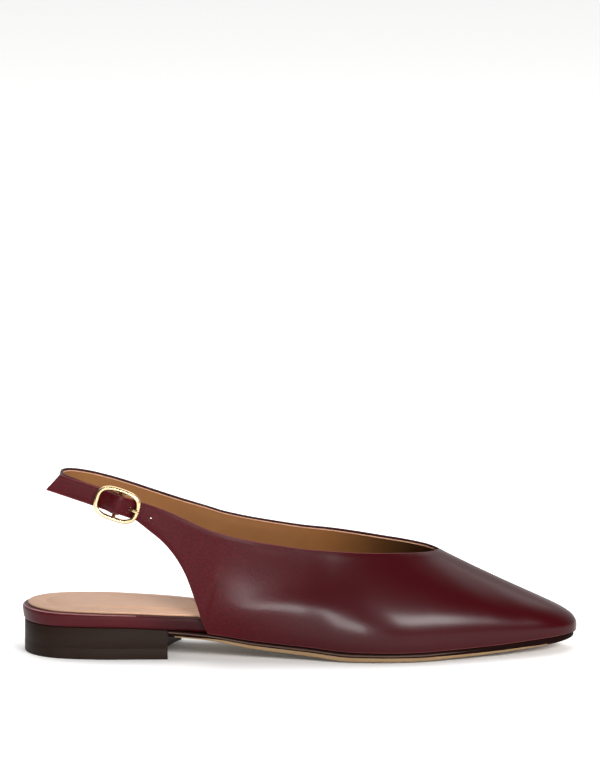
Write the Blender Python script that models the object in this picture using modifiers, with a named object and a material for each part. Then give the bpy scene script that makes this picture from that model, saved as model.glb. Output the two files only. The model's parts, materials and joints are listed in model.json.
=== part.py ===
"""Slingback ballet flat, right shoe.

Metres, +Z up. The toe points to +X, the lateral side with the buckle faces -Y, and the floor
is Z = 0. Every size below is in millimetres, and stations along the shoe ("u") are counted
from the back of the footbed's rim.
"""
import math
from collections import namedtuple

import bmesh
import bpy
import numpy as np

MM = 0.001
LENGTH = 264.0
ORIGIN_U = LENGTH / 2
ORIGIN_Y = 0.45
GAP = 0.3
WALL = 1.6

# Fineness of the faceted solids.
PLAN_SAMPLES = 720
SOLE_ROWS, SOLE_COLUMNS = 34, 4
HEEL_ROWS, HEEL_COLUMNS = 14, 6
FOOTBED_ROWS, FOOTBED_COLUMNS = 36, 4
RIB_FACES = 8
FRAME_POINTS = 40
HOOK_POINTS = 16
WIRE_SIDES = 8
SLOT_SIDES = 12
SHARP_ANGLE = math.radians(35)
MERGE_DISTANCE = 1e-6

# Plan of the last at the feather line: half-widths at each station, and the toe's tip.
OutlineRow = namedtuple("OutlineRow", "u lateral medial")
OUTLINE = (
    OutlineRow(1.4, 8.5, 8.0),
    OutlineRow(6, 16.6, 15.8),
    OutlineRow(15, 23.4, 22.2),
    OutlineRow(35, 27.4, 25.6),
    OutlineRow(60, 27.1, 24.4),
    OutlineRow(90, 27.0, 22.5),
    OutlineRow(112, 28.6, 22.8),
    OutlineRow(132, 32.0, 26.6),
    OutlineRow(150, 35.6, 33.0),
    OutlineRow(166, 37.4, 37.0),
    OutlineRow(182, 36.8, 38.4),
    OutlineRow(200, 32.6, 36.4),
    OutlineRow(220, 25.6, 30.8),
    OutlineRow(240, 17.6, 24.0),
    OutlineRow(252, 12.0, 19.4),
    OutlineRow(259.2, 6.6, 14.4),
    OutlineRow(262.9, 1.4, 9.6),
)
TOE_TIP_Y = 4.0

# Side profile: the sole's underside, the feather line on top of the sole, and the footbed's top.
SideRow = namedtuple("SideRow", "u underside feather footbed_top")
SIDE = (
    SideRow(0, 15.5, 15.5, 22.6),
    SideRow(40, 15.5, 15.7, 22.0),
    SideRow(69, 10.4, 14.4, 20.8),
    SideRow(88, 8.5, 12.6, 19.4),
    SideRow(111, 4.4, 9.2, 15.0),
    SideRow(137, 1.9, 7.1, 10.8),
    SideRow(157, 0.0, 5.4, 8.8),
    SideRow(188, 0.0, 5.1, 8.4),
    SideRow(204, 0.6, 5.6, 8.6),
    SideRow(224, 1.5, 6.2, 9.1),
    SideRow(244, 2.9, 7.4, 10.2),
    SideRow(258, 4.4, 8.2, 10.8),
    SideRow(264, 5.5, 8.5, 11.0),
)

# Heel and sole edges. The tread lifts a little on its way out to the rounded edge.
HEEL_INSET = 1.0
TOP_PIECE_INSET = 0.85
TOP_PIECE_HEIGHT = 5.4
BREAST_LATERAL_U = 69.3
BREAST_MEDIAL_U = 75.5
BREAST_HOLLOW = 4.5
OUTSOLE_INSET = 1.2
OUTSOLE_EDGE_RUN = 4.4
OUTSOLE_EDGE_LIFT = 0.7
OUTSOLE_EDGE_ROUND = 0.6

# Footbed, wrapped at the open heel and tucked inside the upper from the waist forward.
RimRow = namedtuple("RimRow", "inset height_share")
RIM = (
    RimRow(1.2, 0.0),
    RimRow(0.5, 0.4),
    RimRow(0.0, 0.76),
    RimRow(0.66, 0.94),
    RimRow(2.2, 1.0),
)
TUCK_START_U = 66.0
TUCK_END_U = 90.0
TUCK_INSET = 2.3
SOCK_INSET = 2.6
SOCK_THICKNESS = 0.8

# Strap and buckle. The strap's own axes are: along it (forward), up its width, and outward.
BUCKLE_U = 45.6
BUCKLE_Y = -27.2
BUCKLE_Z = 75.4
STRAP_TILT = math.radians(17.8)
STRAP_YAW = math.radians(5.7)
STRAP_HALF_WIDTH = 4.7
FRAME_HALF_LENGTH = 10.0
FRAME_HALF_HEIGHT = 7.1
FRAME_SQUARENESS = 3.0
FRAME_LIFT = 1.0
WIRE_RADIUS = 1.1
BAR_RADIUS = 0.9
LOOP_RADIUS = BAR_RADIUS + GAP + WALL
BILLET_LOW = FRAME_LIFT - WIRE_RADIUS - GAP
BILLET_HIGH = LOOP_RADIUS + GAP + WALL
PRONG_RADIUS = 0.65
PRONG_RING_RADIUS = BAR_RADIUS + GAP + PRONG_RADIUS
PRONG_SLOT_WIDTH = 2.2
PRONG_HOLE_RADIUS = 1.1
ProngRow = namedtuple("ProngRow", "along outward")
PRONG_PATH = (ProngRow(1.9, 0.0), ProngRow(6.0, 0.1), ProngRow(8.3, 2.6), ProngRow(11.2, 3.1))

# The billet ends in a slanted cut, runs flat on the sling, and swells up over the centre bar, where
# it rides a little high and crowns across its width. The sling goes under it and round the bar.
BILLET_TIP_A = -32.4
BILLET_CUT = 2.0
BILLET_FLAT_A = (-20.0, -15.0)
BILLET_STEPS = 12
PILLOW_LIFT = 0.9
PILLOW_CROWN = 16.0
SLING_UNDER_A = (-17.0, -13.0, -10.5, -8.0, -5.5, -3.5, -1.6)
LOOP_TURNS = range(90, -91, -30)
SLING_END_A = -9.0

# Ribs of the upper, each from the topline down to the lower edge. "crown" is how far a rib swings
# outward from its own chord, in degrees, "lean" is the wall's lean from upright at the feather
# line, and each reach is a share of the rib's chord.
THIRD = 1 / 3
TailRib = namedtuple(
    "TailRib", "top_u top_y top_z low_u low_y low_z crown_top crown_low divisions"
)
LATERAL_QUARTER = (
    TailRib(64.0, -28.0, 74.4, 60.0, -28.4, 63.1, 3, 3, 2),
    TailRib(71.6, -28.0, 71.4, 67.3, -28.8, 57.0, 4, 4, 2),
    TailRib(78.2, -27.7, 68.3, 73.0, -29.0, 50.0, 5, 5, 2),
    TailRib(84.8, -27.2, 65.0, 77.8, -28.9, 41.4, 6, 6, 2),
    TailRib(91.0, -26.6, 62.4, 82.0, -28.6, 30.0, 7, 7, 2),
    TailRib(97.0, -26.0, 60.5, 85.2, -27.8, 20.2, 8.5, 9.5, 2),
)
MEDIAL_QUARTER = (
    TailRib(95.5, 26.4, 62.2, 85.2, 23.1, 20.2, 5, 5, 2),
    TailRib(89.5, 26.4, 64.1, 82.0, 24.4, 30.0, 4, 4, 2),
    TailRib(83.0, 26.5, 66.1, 77.8, 25.5, 41.4, 4, 4, 2),
    TailRib(76.4, 26.6, 68.2, 73.0, 26.2, 50.0, 3, 3, 2),
    TailRib(69.6, 26.8, 70.4, 67.0, 26.7, 57.0, 3, 3, 2),
    TailRib(61.4, 26.9, 73.1, 59.4, 26.9, 62.4, 2, 2, 2),
)
SLING = (
    TailRib(52.0, 26.5, 76.3, 49.6, 26.5, 66.5, 0, 0, 3),
    TailRib(41.0, 24.6, 80.0, 39.2, 24.6, 70.2, 0, 0, 3),
    TailRib(30.5, 20.6, 83.2, 29.4, 20.6, 73.5, 0, 0, 3),
    TailRib(22.0, 13.2, 85.6, 21.4, 13.2, 75.9, 0, 0, 3),
    TailRib(17.9, 2.0, 86.8, 17.5, 2.0, 77.1, 0, 0, 3),
    TailRib(19.8, -10.4, 86.9, 19.2, -10.4, 77.2, 0, 0, 3),
    TailRib(24.8, -18.6, 86.5, 23.4, -18.6, 76.9, 0, 0, 3),
)
VampRib = namedtuple(
    "VampRib", "top_u top_y top_z low_u crown_top reach_top lean reach_low divisions"
)
LATERAL_VAMP = (
    VampRib(103.0, -25.6, 58.8, 88.3, 10, 0.50, 12, 0.30, 2),
    VampRib(111.5, -25.3, 57.0, 100.0, 11, 0.58, 16, 0.27, 3),
    VampRib(122.0, -25.2, 55.3, 114.0, 10.5, 0.64, 18, 0.25, 3),
    VampRib(134.0, -25.1, 53.6, 131.0, 9, 0.62, 17, 0.23, 3),
    VampRib(147.0, -24.6, 52.4, 149.0, 9, 0.54, 14, 0.25, 3),
    VampRib(160.0, -22.9, 51.3, 169.0, 11, 0.47, 13, 0.27, 3),
    VampRib(172.0, -20.3, 50.6, 191.0, 12, 0.43, 13, 0.28, 3),
    VampRib(181.0, -17.2, 50.1, 210.0, 12, 0.43, 12.5, 0.28, 3),
    VampRib(187.6, -13.6, 49.6, 227.0, 9.5, 0.50, 12, 0.25, 3),
    VampRib(192.6, -8.8, 49.1, 242.0, 6.2, 0.62, 12, 0.20, 3),
    VampRib(196.2, -3.4, 48.7, 254.0, 4.8, 0.74, 12, 0.17, 4),
)
THROAT = VampRib(198.0, 2.4, 48.4, LENGTH, 4.0, 0.86, 11, 0.15, 4)
MEDIAL_VAMP = (
    VampRib(196.6, 8.0, 48.3, 254.0, 4.0, 0.74, 12, 0.17, 3),
    VampRib(193.0, 13.0, 48.7, 242.0, 5.0, 0.62, 12, 0.20, 3),
    VampRib(187.6, 16.8, 49.3, 227.0, 8.2, 0.50, 12, 0.25, 3),
    VampRib(180.6, 19.8, 50.1, 210.0, 12, 0.42, 12, 0.29, 3),
    VampRib(171.0, 22.2, 51.2, 191.0, 13, 0.38, 12, 0.31, 3),
    VampRib(159.0, 24.2, 52.8, 169.0, 14, 0.35, 11, 0.33, 3),
    VampRib(146.5, 25.4, 54.3, 149.0, 13, 0.34, 10, 0.34, 3),
    VampRib(133.5, 26.0, 55.5, 131.0, 11, 0.34, 10, 0.34, 3),
    VampRib(121.0, 26.3, 57.3, 114.0, 9, 0.34, 10, 0.34, 3),
    VampRib(109.5, 26.4, 59.2, 100.0, 7, 0.34, 10, 0.34, 3),
    VampRib(102.0, 26.4, 60.7, 88.3, 6, 0.34, 10, 0.34, 2),
)

COLOURS = {
    "burgundy_calf": ((0.075, 0.010, 0.014, 1.0), 0.35, 0.0),
    "sole_leather": ((0.30, 0.17, 0.09, 1.0), 0.55, 0.0),
    "heel_stack": ((0.030, 0.021, 0.017, 1.0), 0.40, 0.0),
    "sock_leather": ((0.52, 0.36, 0.25, 1.0), 0.55, 0.0),
    "pale_gold": ((0.83, 0.67, 0.36, 1.0), 0.18, 1.0),
}


def slopes(knots, values):
    """Slope at each knot of the smooth curve through the values, from its two neighbours."""
    step = np.diff(knots)[:, None]
    rise = np.diff(values, axis=0) / step
    inner = (rise[:-1] * step[1:] + rise[1:] * step[:-1]) / (step[1:] + step[:-1])
    return np.vstack([rise[:1], inner, rise[-1:]])


def smooth(knots, values, at):
    """Cubic curve through the rows of values, read at the given places."""
    knots = np.asarray(knots, float)
    values = np.asarray(values, float).reshape(len(knots), -1)
    at = np.asarray(at, float)
    slope = slopes(knots, values)
    i = np.clip(np.searchsorted(knots, at, side="right") - 1, 0, len(knots) - 2)
    span = (knots[i + 1] - knots[i])[:, None]
    t = ((at - knots[i])[:, None]) / span
    return (
        (2 * t**3 - 3 * t**2 + 1) * values[i]
        + (t**3 - 2 * t**2 + t) * span * slope[i]
        + (3 * t**2 - 2 * t**3) * values[i + 1]
        + (t**3 - t**2) * span * slope[i + 1]
    )


def chord_knots(points):
    """Knots spaced by the square root of each chord, so that tight corners stay round."""
    steps = np.sqrt(np.linalg.norm(np.diff(points, axis=0), axis=1))
    return np.concatenate([[0.0], np.cumsum(steps)])


def level(column, u):
    """Height of one column of the side profile; level runs stay exactly level."""
    stations = np.array([row.u for row in SIDE], float)
    heights = np.array([getattr(row, column) for row in SIDE], float)
    rise = np.diff(heights) / np.diff(stations)
    turning = rise[:-1] * rise[1:] <= 0
    total = np.where(turning, 1.0, rise[:-1] + rise[1:])
    inner = np.where(turning, 0.0, 2 * rise[:-1] * rise[1:] / total)
    slope = np.concatenate([rise[:1], inner, rise[-1:]])
    u = np.clip(np.asarray(u, float), stations[0], stations[-1])
    i = np.clip(np.searchsorted(stations, u, side="right") - 1, 0, len(stations) - 2)
    span = stations[i + 1] - stations[i]
    t = (u - stations[i]) / span
    return (
        (2 * t**3 - 3 * t**2 + 1) * heights[i]
        + (t**3 - 2 * t**2 + t) * span * slope[i]
        + (3 * t**2 - 2 * t**3) * heights[i + 1]
        + (t**3 - t**2) * span * slope[i + 1]
    )


def feather(u):
    """Height of the feather line, where the upper meets the sole."""
    return level("feather", u)


def plan_curve():
    """Closed plan of the last, from the heel along the lateral side to the toe and back."""
    loop = [(0.0, 0.0)]
    loop += [(row.u, -row.lateral) for row in OUTLINE]
    loop += [(LENGTH, TOE_TIP_Y)]
    loop += [(row.u, row.medial) for row in reversed(OUTLINE)]
    loop += [(0.0, 0.0)]
    lap = loop[-3:-1] + loop + loop[1:3]
    knots = chord_knots(np.array(lap))
    at = np.linspace(knots[2], knots[-3], PLAN_SAMPLES + 1)
    return smooth(knots, lap, at)


PLAN = plan_curve()


def plan_normals(curve):
    """Outward unit normals of a closed plan curve."""
    tangent = np.roll(curve[:-1], -1, axis=0) - np.roll(curve[:-1], 1, axis=0)
    tangent = np.vstack([tangent, tangent[:1]])
    normal = np.column_stack([tangent[:, 1], -tangent[:, 0]])
    return normal / np.linalg.norm(normal, axis=1)[:, None]


PLAN_NORMALS = plan_normals(PLAN)
TIP_INDEX = int(np.argmax(PLAN[:, 0]))


def inset_sides(inset, tucked=False):
    """Lateral and medial sides of the plan drawn in by an inset, each as (u, y) from heel to toe."""
    share = np.clip((PLAN[:, 0] - TUCK_START_U) / (TUCK_END_U - TUCK_START_U), 0, 1)
    tuck = TUCK_INSET * share**2 * (3 - 2 * share) if tucked else 0 * share
    curve = PLAN - PLAN_NORMALS * (inset + tuck)[:, None]
    tip = int(np.argmax(curve[:, 0]))
    heel = int(np.argmin(curve[:, 0]))
    around = np.roll(curve[:-1], -heel, axis=0)
    tip = (tip - heel) % len(around)
    return around[: tip + 1], np.vstack([around[tip:], around[:1]])[::-1]


def side_y(side, u):
    """Where a side of the plan lies across the shoe at station u."""
    return np.interp(u, side[:, 0], side[:, 1])


def breast_u(v):
    """Station of the heel's breast across the shoe, v running from 0 lateral to 1 medial."""
    hollow = BREAST_HOLLOW * (1 - (2 * v - 1) ** 2)
    return BREAST_LATERAL_U + (BREAST_MEDIAL_U - BREAST_LATERAL_U) * v - hollow


def ring_grid(inset, rows, columns, start=None, finish=None, tucked=False):
    """Plan points of a slab, as rows along the shoe by columns across it."""
    lateral, medial = inset_sides(np.full(len(PLAN), float(inset)), tucked)
    v = np.linspace(0, 1, columns + 1)
    first = np.full_like(v, max(lateral[0, 0], medial[0, 0])) if start is None else start(v)
    last = np.full_like(v, min(lateral[-1, 0], medial[-1, 0])) if finish is None else finish(v)
    f = np.linspace(0, 1, rows + 1)
    if start is None and finish is None:
        f = (1 - np.cos(math.pi * f)) / 2
    elif start is None:
        f = 1 - np.cos(math.pi / 2 * f)
    else:
        f = np.sin(math.pi / 2 * f)
    u = first[None, :] + (last - first)[None, :] * f[:, None]
    y = side_y(lateral, u) * (1 - v) + side_y(medial, u) * v
    return u, y


def new_object(name, colour, collection, mesh):
    """Object with its own material, in the shoe's collection."""
    rgba, roughness, metallic = COLOURS[colour]
    material = bpy.data.materials.new(name + "_" + colour)
    material.use_nodes = True
    shader = material.node_tree.nodes["Principled BSDF"]
    shader.inputs["Base Color"].default_value = rgba
    shader.inputs["Roughness"].default_value = roughness
    shader.inputs["Metallic"].default_value = metallic
    mesh.materials.clear()
    mesh.materials.append(material)
    obj = bpy.data.objects.new(name, mesh)
    collection.objects.link(obj)
    return obj


def metres(points):
    """Shoe stations in millimetres to the object's frame in metres."""
    points = np.array(points, float).reshape(-1, 3)
    points[:, 0] -= ORIGIN_U
    points[:, 1] -= ORIGIN_Y
    return points * MM


def mesh_from(name, points, faces):
    """Mesh with its doubled points merged and its faces turned outward."""
    mesh = bpy.data.meshes.new(name)
    mesh.from_pydata(metres(points).tolist(), [], faces)
    work = bmesh.new()
    work.from_mesh(mesh)
    bmesh.ops.remove_doubles(work, verts=work.verts, dist=MERGE_DISTANCE)
    bmesh.ops.dissolve_degenerate(work, edges=work.edges, dist=MERGE_DISTANCE)
    bmesh.ops.recalc_face_normals(work, faces=work.faces)
    work.to_mesh(mesh)
    work.free()
    mesh.shade_smooth()
    mesh.set_sharp_from_angle(angle=SHARP_ANGLE)
    return mesh


def slab(name, levels, rows, columns, start=None, finish=None, tucked=False):
    """Closed slab lofted through plan outlines.

    levels is a list of (inset, height function) from the bottom to the top.
    """
    points = []
    faces = []
    rims = []
    grids = []
    for number, (inset, height) in enumerate(levels):
        u, y = ring_grid(inset, rows, columns, start, finish, tucked)
        base = len(points)
        points += np.column_stack([u.ravel(), y.ravel(), height(u.ravel())]).tolist()
        index = base + np.arange((rows + 1) * (columns + 1)).reshape(rows + 1, columns + 1)
        toe_end = [*index[-1, 1:], *index[-2::-1, -1]]
        rims.append([*index[:, 0], *toe_end, *index[0, -2:0:-1]])
        if number in (0, len(levels) - 1):
            grids.append(index)
    for lower, upper in zip(rims, rims[1:]):
        count = len(lower)
        faces += [
            (int(lower[k]), int(lower[(k + 1) % count]), int(upper[(k + 1) % count]), int(upper[k]))
            for k in range(count)
        ]
    for grid in grids:
        faces += [
            (int(grid[i, j]), int(grid[i + 1, j]), int(grid[i + 1, j + 1]), int(grid[i, j + 1]))
            for i in range(rows)
            for j in range(columns)
        ]
    return drop_loose(mesh_from(name, points, faces))


def drop_loose(mesh):
    """Mesh without the inner points that no face uses."""
    work = bmesh.new()
    work.from_mesh(mesh)
    loose = [vert for vert in work.verts if not vert.link_faces]
    bmesh.ops.delete(work, geom=loose, context="VERTS")
    work.to_mesh(mesh)
    work.free()
    return mesh


def strap_axes():
    """Unit axes of the strap at the buckle: along it, up its width, and outward."""
    along = np.array([
        math.cos(STRAP_TILT) * math.cos(STRAP_YAW),
        -math.cos(STRAP_TILT) * math.sin(STRAP_YAW),
        -math.sin(STRAP_TILT),
    ])
    up = np.array([
        math.sin(STRAP_TILT) * math.cos(STRAP_YAW),
        -math.sin(STRAP_TILT) * math.sin(STRAP_YAW),
        math.cos(STRAP_TILT),
    ])
    return along, up, np.cross(along, up)


def strap_point(a, p, n):
    """Point in shoe stations from the strap's own axes at the buckle's centre bar."""
    along, up, out = strap_axes()
    return np.array([BUCKLE_U, BUCKLE_Y, BUCKLE_Z]) + a * along + p * up + n * out


def billet_swing(a):
    """Share of the billet's swell, from 0 under the frame's ends to 1 over the centre bar."""
    return np.cos(math.pi / 2 * np.clip(a / FRAME_HALF_LENGTH, -1, 1)) ** 2


def billet_rise(a):
    """How far the billet's outer face stands out as it passes under, over and under the buckle."""
    return BILLET_LOW + (BILLET_HIGH - BILLET_LOW) * billet_swing(a)


def billet_slope(a):
    """Slope of the billet's outer face along the strap."""
    step = 0.01
    return (billet_rise(a + step) - billet_rise(a - step)) / (2 * step)


Rib = namedtuple("Rib", "top low crown_top reach_top crown_low reach_low lean divisions")


def strap_rib(a, n, lift=0.0, crown=0.0):
    """Rib across the strap, lifted up its width and crowned outward if asked."""
    top = strap_point(a, lift + STRAP_HALF_WIDTH, n)
    low = strap_point(a, lift - STRAP_HALF_WIDTH, n)
    return Rib(top, low, crown, THIRD, crown, THIRD, None, 1)


def billet_ribs():
    """Free end of the strap, from its slanted cut to where the quarter begins."""
    tip_top = strap_point(BILLET_TIP_A + BILLET_CUT, STRAP_HALF_WIDTH, BILLET_LOW)
    tip_low = strap_point(BILLET_TIP_A - BILLET_CUT, -STRAP_HALF_WIDTH, BILLET_LOW)
    ribs = [Rib(tip_top, tip_low, 0, THIRD, 0, THIRD, None, 3)]
    ribs += [strap_rib(a, BILLET_LOW) for a in BILLET_FLAT_A]
    for a in np.linspace(-FRAME_HALF_LENGTH, FRAME_HALF_LENGTH, BILLET_STEPS + 1):
        swing = billet_swing(a)
        ribs.append(strap_rib(a, billet_rise(a), PILLOW_LIFT * swing, PILLOW_CROWN * swing))
    return ribs


def loop_ribs():
    """End of the sling: under the billet, round the centre bar and back along itself."""
    under = WALL + GAP
    ribs = []
    for a in SLING_UNDER_A:
        tilt = math.atan(billet_slope(a))
        ribs.append(strap_rib(a + under * math.sin(tilt), billet_rise(a) - under * math.cos(tilt)))
    for degrees in LOOP_TURNS:
        angle = math.radians(degrees)
        ribs.append(strap_rib(LOOP_RADIUS * math.cos(angle), LOOP_RADIUS * math.sin(angle)))
    doubled = BILLET_LOW - under - WALL - GAP - WALL
    ribs.append(strap_rib(SLING_END_A / 2, (doubled - LOOP_RADIUS) / 2 - GAP))
    ribs.append(strap_rib(SLING_END_A, doubled))
    return ribs


def tail_rib(row):
    """Rib of a quarter's cut edge or of the sling."""
    top = np.array([row.top_u, row.top_y, row.top_z])
    low = np.array([row.low_u, row.low_y, row.low_z])
    return Rib(top, low, row.crown_top, THIRD, row.crown_low, THIRD, None, row.divisions)


def feather_share(u, side):
    """Place along the closed plan, as a share of its points, at station u on one side."""
    if side == "lateral":
        share = np.interp(u, PLAN[: TIP_INDEX + 1, 0], np.arange(TIP_INDEX + 1))
    else:
        back = np.arange(len(PLAN) - 1, TIP_INDEX - 1, -1)
        share = np.interp(u, PLAN[back, 0], back)
    return float(share) / (len(PLAN) - 1)


def feather_point(share):
    """Point of the feather line and its outward plan normal at a share of the closed plan."""
    at = share * (len(PLAN) - 1)
    index = np.arange(len(PLAN))
    u = np.interp(at, index, PLAN[:, 0])
    y = np.interp(at, index, PLAN[:, 1])
    out_u = np.interp(at, index, PLAN_NORMALS[:, 0])
    out_y = np.interp(at, index, PLAN_NORMALS[:, 1])
    return np.array([u, y, float(feather(u))]), unit(np.array([out_u, out_y, 0.0]))


def vamp_rib(row, side):
    """Rib that ends on the feather line; its lower end is kept as a share of the plan."""
    top = np.array([row.top_u, row.top_y, row.top_z])
    share = feather_share(row.low_u, side)
    return Rib(top, share, row.crown_top, row.reach_top, None, row.reach_low, row.lean, row.divisions)


def upper_rows():
    """All ribs in order: billet, lateral quarter, vamp, medial quarter, sling and its loop."""
    rows = billet_ribs()
    rows += [tail_rib(row) for row in LATERAL_QUARTER]
    first_vamp = len(rows)
    rows += [vamp_rib(row, "lateral") for row in LATERAL_VAMP]
    rows += [vamp_rib(THROAT, "lateral")]
    rows += [vamp_rib(row, "medial") for row in MEDIAL_VAMP]
    last_vamp = len(rows) - 1
    rows += [tail_rib(row) for row in MEDIAL_QUARTER]
    rows += [tail_rib(row) for row in SLING]
    rows += loop_ribs()
    return rows, first_vamp, last_vamp


def unit(vectors):
    """Vectors scaled to length one."""
    return vectors / np.linalg.norm(vectors, axis=-1, keepdims=True)


def rib_ends(rows):
    """Top and lower end of each rib, the feather line's ends worked out from their shares."""
    tops = np.array([row.top for row in rows])
    lows = np.array([row.low if row.lean is None else feather_point(row.low)[0] for row in rows])
    return tops, lows


def rib_directions(rows, tops, lows):
    """Direction in which each rib leaves its top and its lower end."""
    chord = unit(lows - tops)
    run = unit(np.gradient(tops, axis=0)) + unit(np.gradient(lows, axis=0))
    out = unit(np.cross(chord, run))
    top_swing = np.radians([row.crown_top for row in rows])[:, None]
    leave_top = chord * np.cos(top_swing) + out * np.sin(top_swing)
    leave_low = np.zeros_like(chord)
    for k, row in enumerate(rows):
        if row.lean is None:
            swing = math.radians(row.crown_low)
            leave_low[k] = -chord[k] * math.cos(swing) + out[k] * math.sin(swing)
        else:
            lean = math.radians(row.lean)
            outward = feather_point(row.low)[1]
            leave_low[k] = outward * math.sin(lean) + np.array([0, 0, math.cos(lean)])
    return leave_top, leave_low


def upper_grid():
    """Outer face of the upper as ribs by points down each rib."""
    rows, first_vamp, last_vamp = upper_rows()
    tops, lows = rib_ends(rows)
    leave_top, leave_low = rib_directions(rows, tops, lows)
    knots = chord_knots((tops + lows) / 2)
    at = [
        knots[k] + (knots[k + 1] - knots[k]) * step / rows[k].divisions
        for k in range(len(rows) - 1)
        for step in range(rows[k].divisions)
    ]
    at = np.array(at + [knots[-1]])
    shares = np.array([row.low for row in rows[first_vamp : last_vamp + 1]])
    front = slice(first_vamp, last_vamp + 1)
    on_vamp = (at >= knots[first_vamp] - 1e-9) & (at <= knots[last_vamp] + 1e-9)
    before = at < knots[first_vamp] - 1e-9
    after = at > knots[last_vamp] + 1e-9
    low = np.zeros((len(at), 3))
    low[before] = smooth(knots[: first_vamp + 1], lows[: first_vamp + 1], at[before])
    low[after] = smooth(knots[last_vamp:], lows[last_vamp:], at[after])
    read = smooth(knots[front], shares, at[on_vamp])[:, 0]
    low[on_vamp] = np.array([feather_point(share)[0] for share in read])
    top = smooth(knots, tops, at)
    reach_top = smooth(knots, [row.reach_top for row in rows], at)
    reach_low = smooth(knots, [row.reach_low for row in rows], at)
    length = np.linalg.norm(low - top, axis=1)[:, None]
    handle_top = top + unit(smooth(knots, leave_top, at)) * reach_top * length
    handle_low = low + unit(smooth(knots, leave_low, at)) * reach_low * length
    t = np.linspace(0, 1, RIB_FACES + 1)[None, :, None]
    return (
        (1 - t) ** 3 * top[:, None]
        + 3 * t * (1 - t) ** 2 * handle_top[:, None]
        + 3 * t**2 * (1 - t) * handle_low[:, None]
        + t**3 * low[:, None]
    )


def build_upper(collection):
    """Hollow upper: its outer face with the wall's thickness inside it."""
    grid = upper_grid()
    ribs, across = grid.shape[:2]
    faces = [
        (i * across + j, i * across + j + 1, (i + 1) * across + j + 1, (i + 1) * across + j)
        for i in range(ribs - 1)
        for j in range(across - 1)
    ]
    mesh = bpy.data.meshes.new("upper")
    mesh.from_pydata(metres(grid).tolist(), [], faces)
    mesh.shade_smooth()
    upper = new_object("upper", "burgundy_calf", collection, mesh)
    wall = upper.modifiers.new("wall", "SOLIDIFY")
    wall.thickness = WALL * MM
    wall.offset = -1
    wall.use_even_offset = True
    return upper


def build_sole(collection):
    """Thin leather outsole from the heel's breast to the toe."""
    def behind(v):
        return breast_u(v) + GAP

    def underside(u):
        return level("underside", u)

    def edge_low(u):
        return underside(u) + OUTSOLE_EDGE_LIFT

    def edge_side(u):
        return edge_low(u) + OUTSOLE_EDGE_ROUND

    def top(u):
        return feather(u) - GAP

    levels = [
        (OUTSOLE_INSET + OUTSOLE_EDGE_RUN, underside),
        (OUTSOLE_INSET + OUTSOLE_EDGE_ROUND, edge_low),
        (OUTSOLE_INSET, edge_side),
        (OUTSOLE_INSET, top),
    ]
    mesh = slab("outsole", levels, SOLE_ROWS, SOLE_COLUMNS, start=behind)
    return new_object("outsole", "sole_leather", collection, mesh)


def build_heel(collection):
    """Low heel block and the top piece that it walks on."""
    def floor(u):
        return 0 * u

    def top_piece_top(u):
        return 0 * u + TOP_PIECE_HEIGHT

    def block_bottom(u):
        return 0 * u + TOP_PIECE_HEIGHT + GAP

    def seat(u):
        return feather(u) - GAP

    block = [(HEEL_INSET, block_bottom), (HEEL_INSET, seat)]
    top_piece = [(TOP_PIECE_INSET, floor), (TOP_PIECE_INSET, top_piece_top)]
    for name, levels in (("heel_block", block), ("heel_top_piece", top_piece)):
        mesh = slab(name, levels, HEEL_ROWS, HEEL_COLUMNS, finish=breast_u)
        new_object(name, "heel_stack", collection, mesh)


def footbed_height(share):
    """Height function at a share of the footbed's thickness."""
    def height(u):
        return feather(u) + (level("footbed_top", u) - feather(u)) * share
    return height


def build_footbed(collection):
    """Wrapped footbed with its rounded rim, and the leather sock on it."""
    rim = [(row.inset, footbed_height(row.height_share)) for row in RIM]
    footbed = slab("footbed", rim, FOOTBED_ROWS, FOOTBED_COLUMNS, tucked=True)
    new_object("footbed", "burgundy_calf", collection, footbed)

    def under(u):
        return level("footbed_top", u) + GAP

    def over(u):
        return level("footbed_top", u) + GAP + SOCK_THICKNESS

    levels = [(SOCK_INSET, under), (SOCK_INSET, over)]
    sock = slab("insole_sock", levels, FOOTBED_ROWS, FOOTBED_COLUMNS, tucked=True)
    new_object("insole_sock", "sock_leather", collection, sock)


def rod(name, path, radius, sides, cyclic=False):
    """Round wire along a path of shoe stations, as a closed mesh."""
    curve = bpy.data.curves.new(name, "CURVE")
    curve.dimensions = "3D"
    curve.bevel_depth = radius * MM
    curve.bevel_resolution = sides // 2 - 2
    curve.use_fill_caps = not cyclic
    spline = curve.splines.new("POLY")
    points = metres(path)
    spline.points.add(len(points) - 1)
    for slot, place in zip(spline.points, points):
        slot.co = (*place, 1.0)
    spline.use_cyclic_u = cyclic
    wire = bpy.data.objects.new(name, curve)
    bpy.context.scene.collection.objects.link(wire)
    depsgraph = bpy.context.evaluated_depsgraph_get()
    mesh = bpy.data.meshes.new_from_object(wire.evaluated_get(depsgraph))
    bpy.data.objects.remove(wire)
    work = bmesh.new()
    work.from_mesh(mesh)
    bmesh.ops.remove_doubles(work, verts=work.verts, dist=MERGE_DISTANCE)
    bmesh.ops.recalc_face_normals(work, faces=work.faces)
    work.to_mesh(mesh)
    work.free()
    mesh.shade_smooth()
    return mesh


def add_tool(target, mesh, operation, collection):
    """Boolean on the target with a hidden tool object."""
    tool = bpy.data.objects.new(target.name + "_" + mesh.name, mesh)
    tool.hide_render = True
    tool.display_type = "WIRE"
    collection.objects.link(tool)
    cut = target.modifiers.new(mesh.name, "BOOLEAN")
    cut.operation = operation
    cut.solver = "EXACT"
    cut.object = tool


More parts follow.
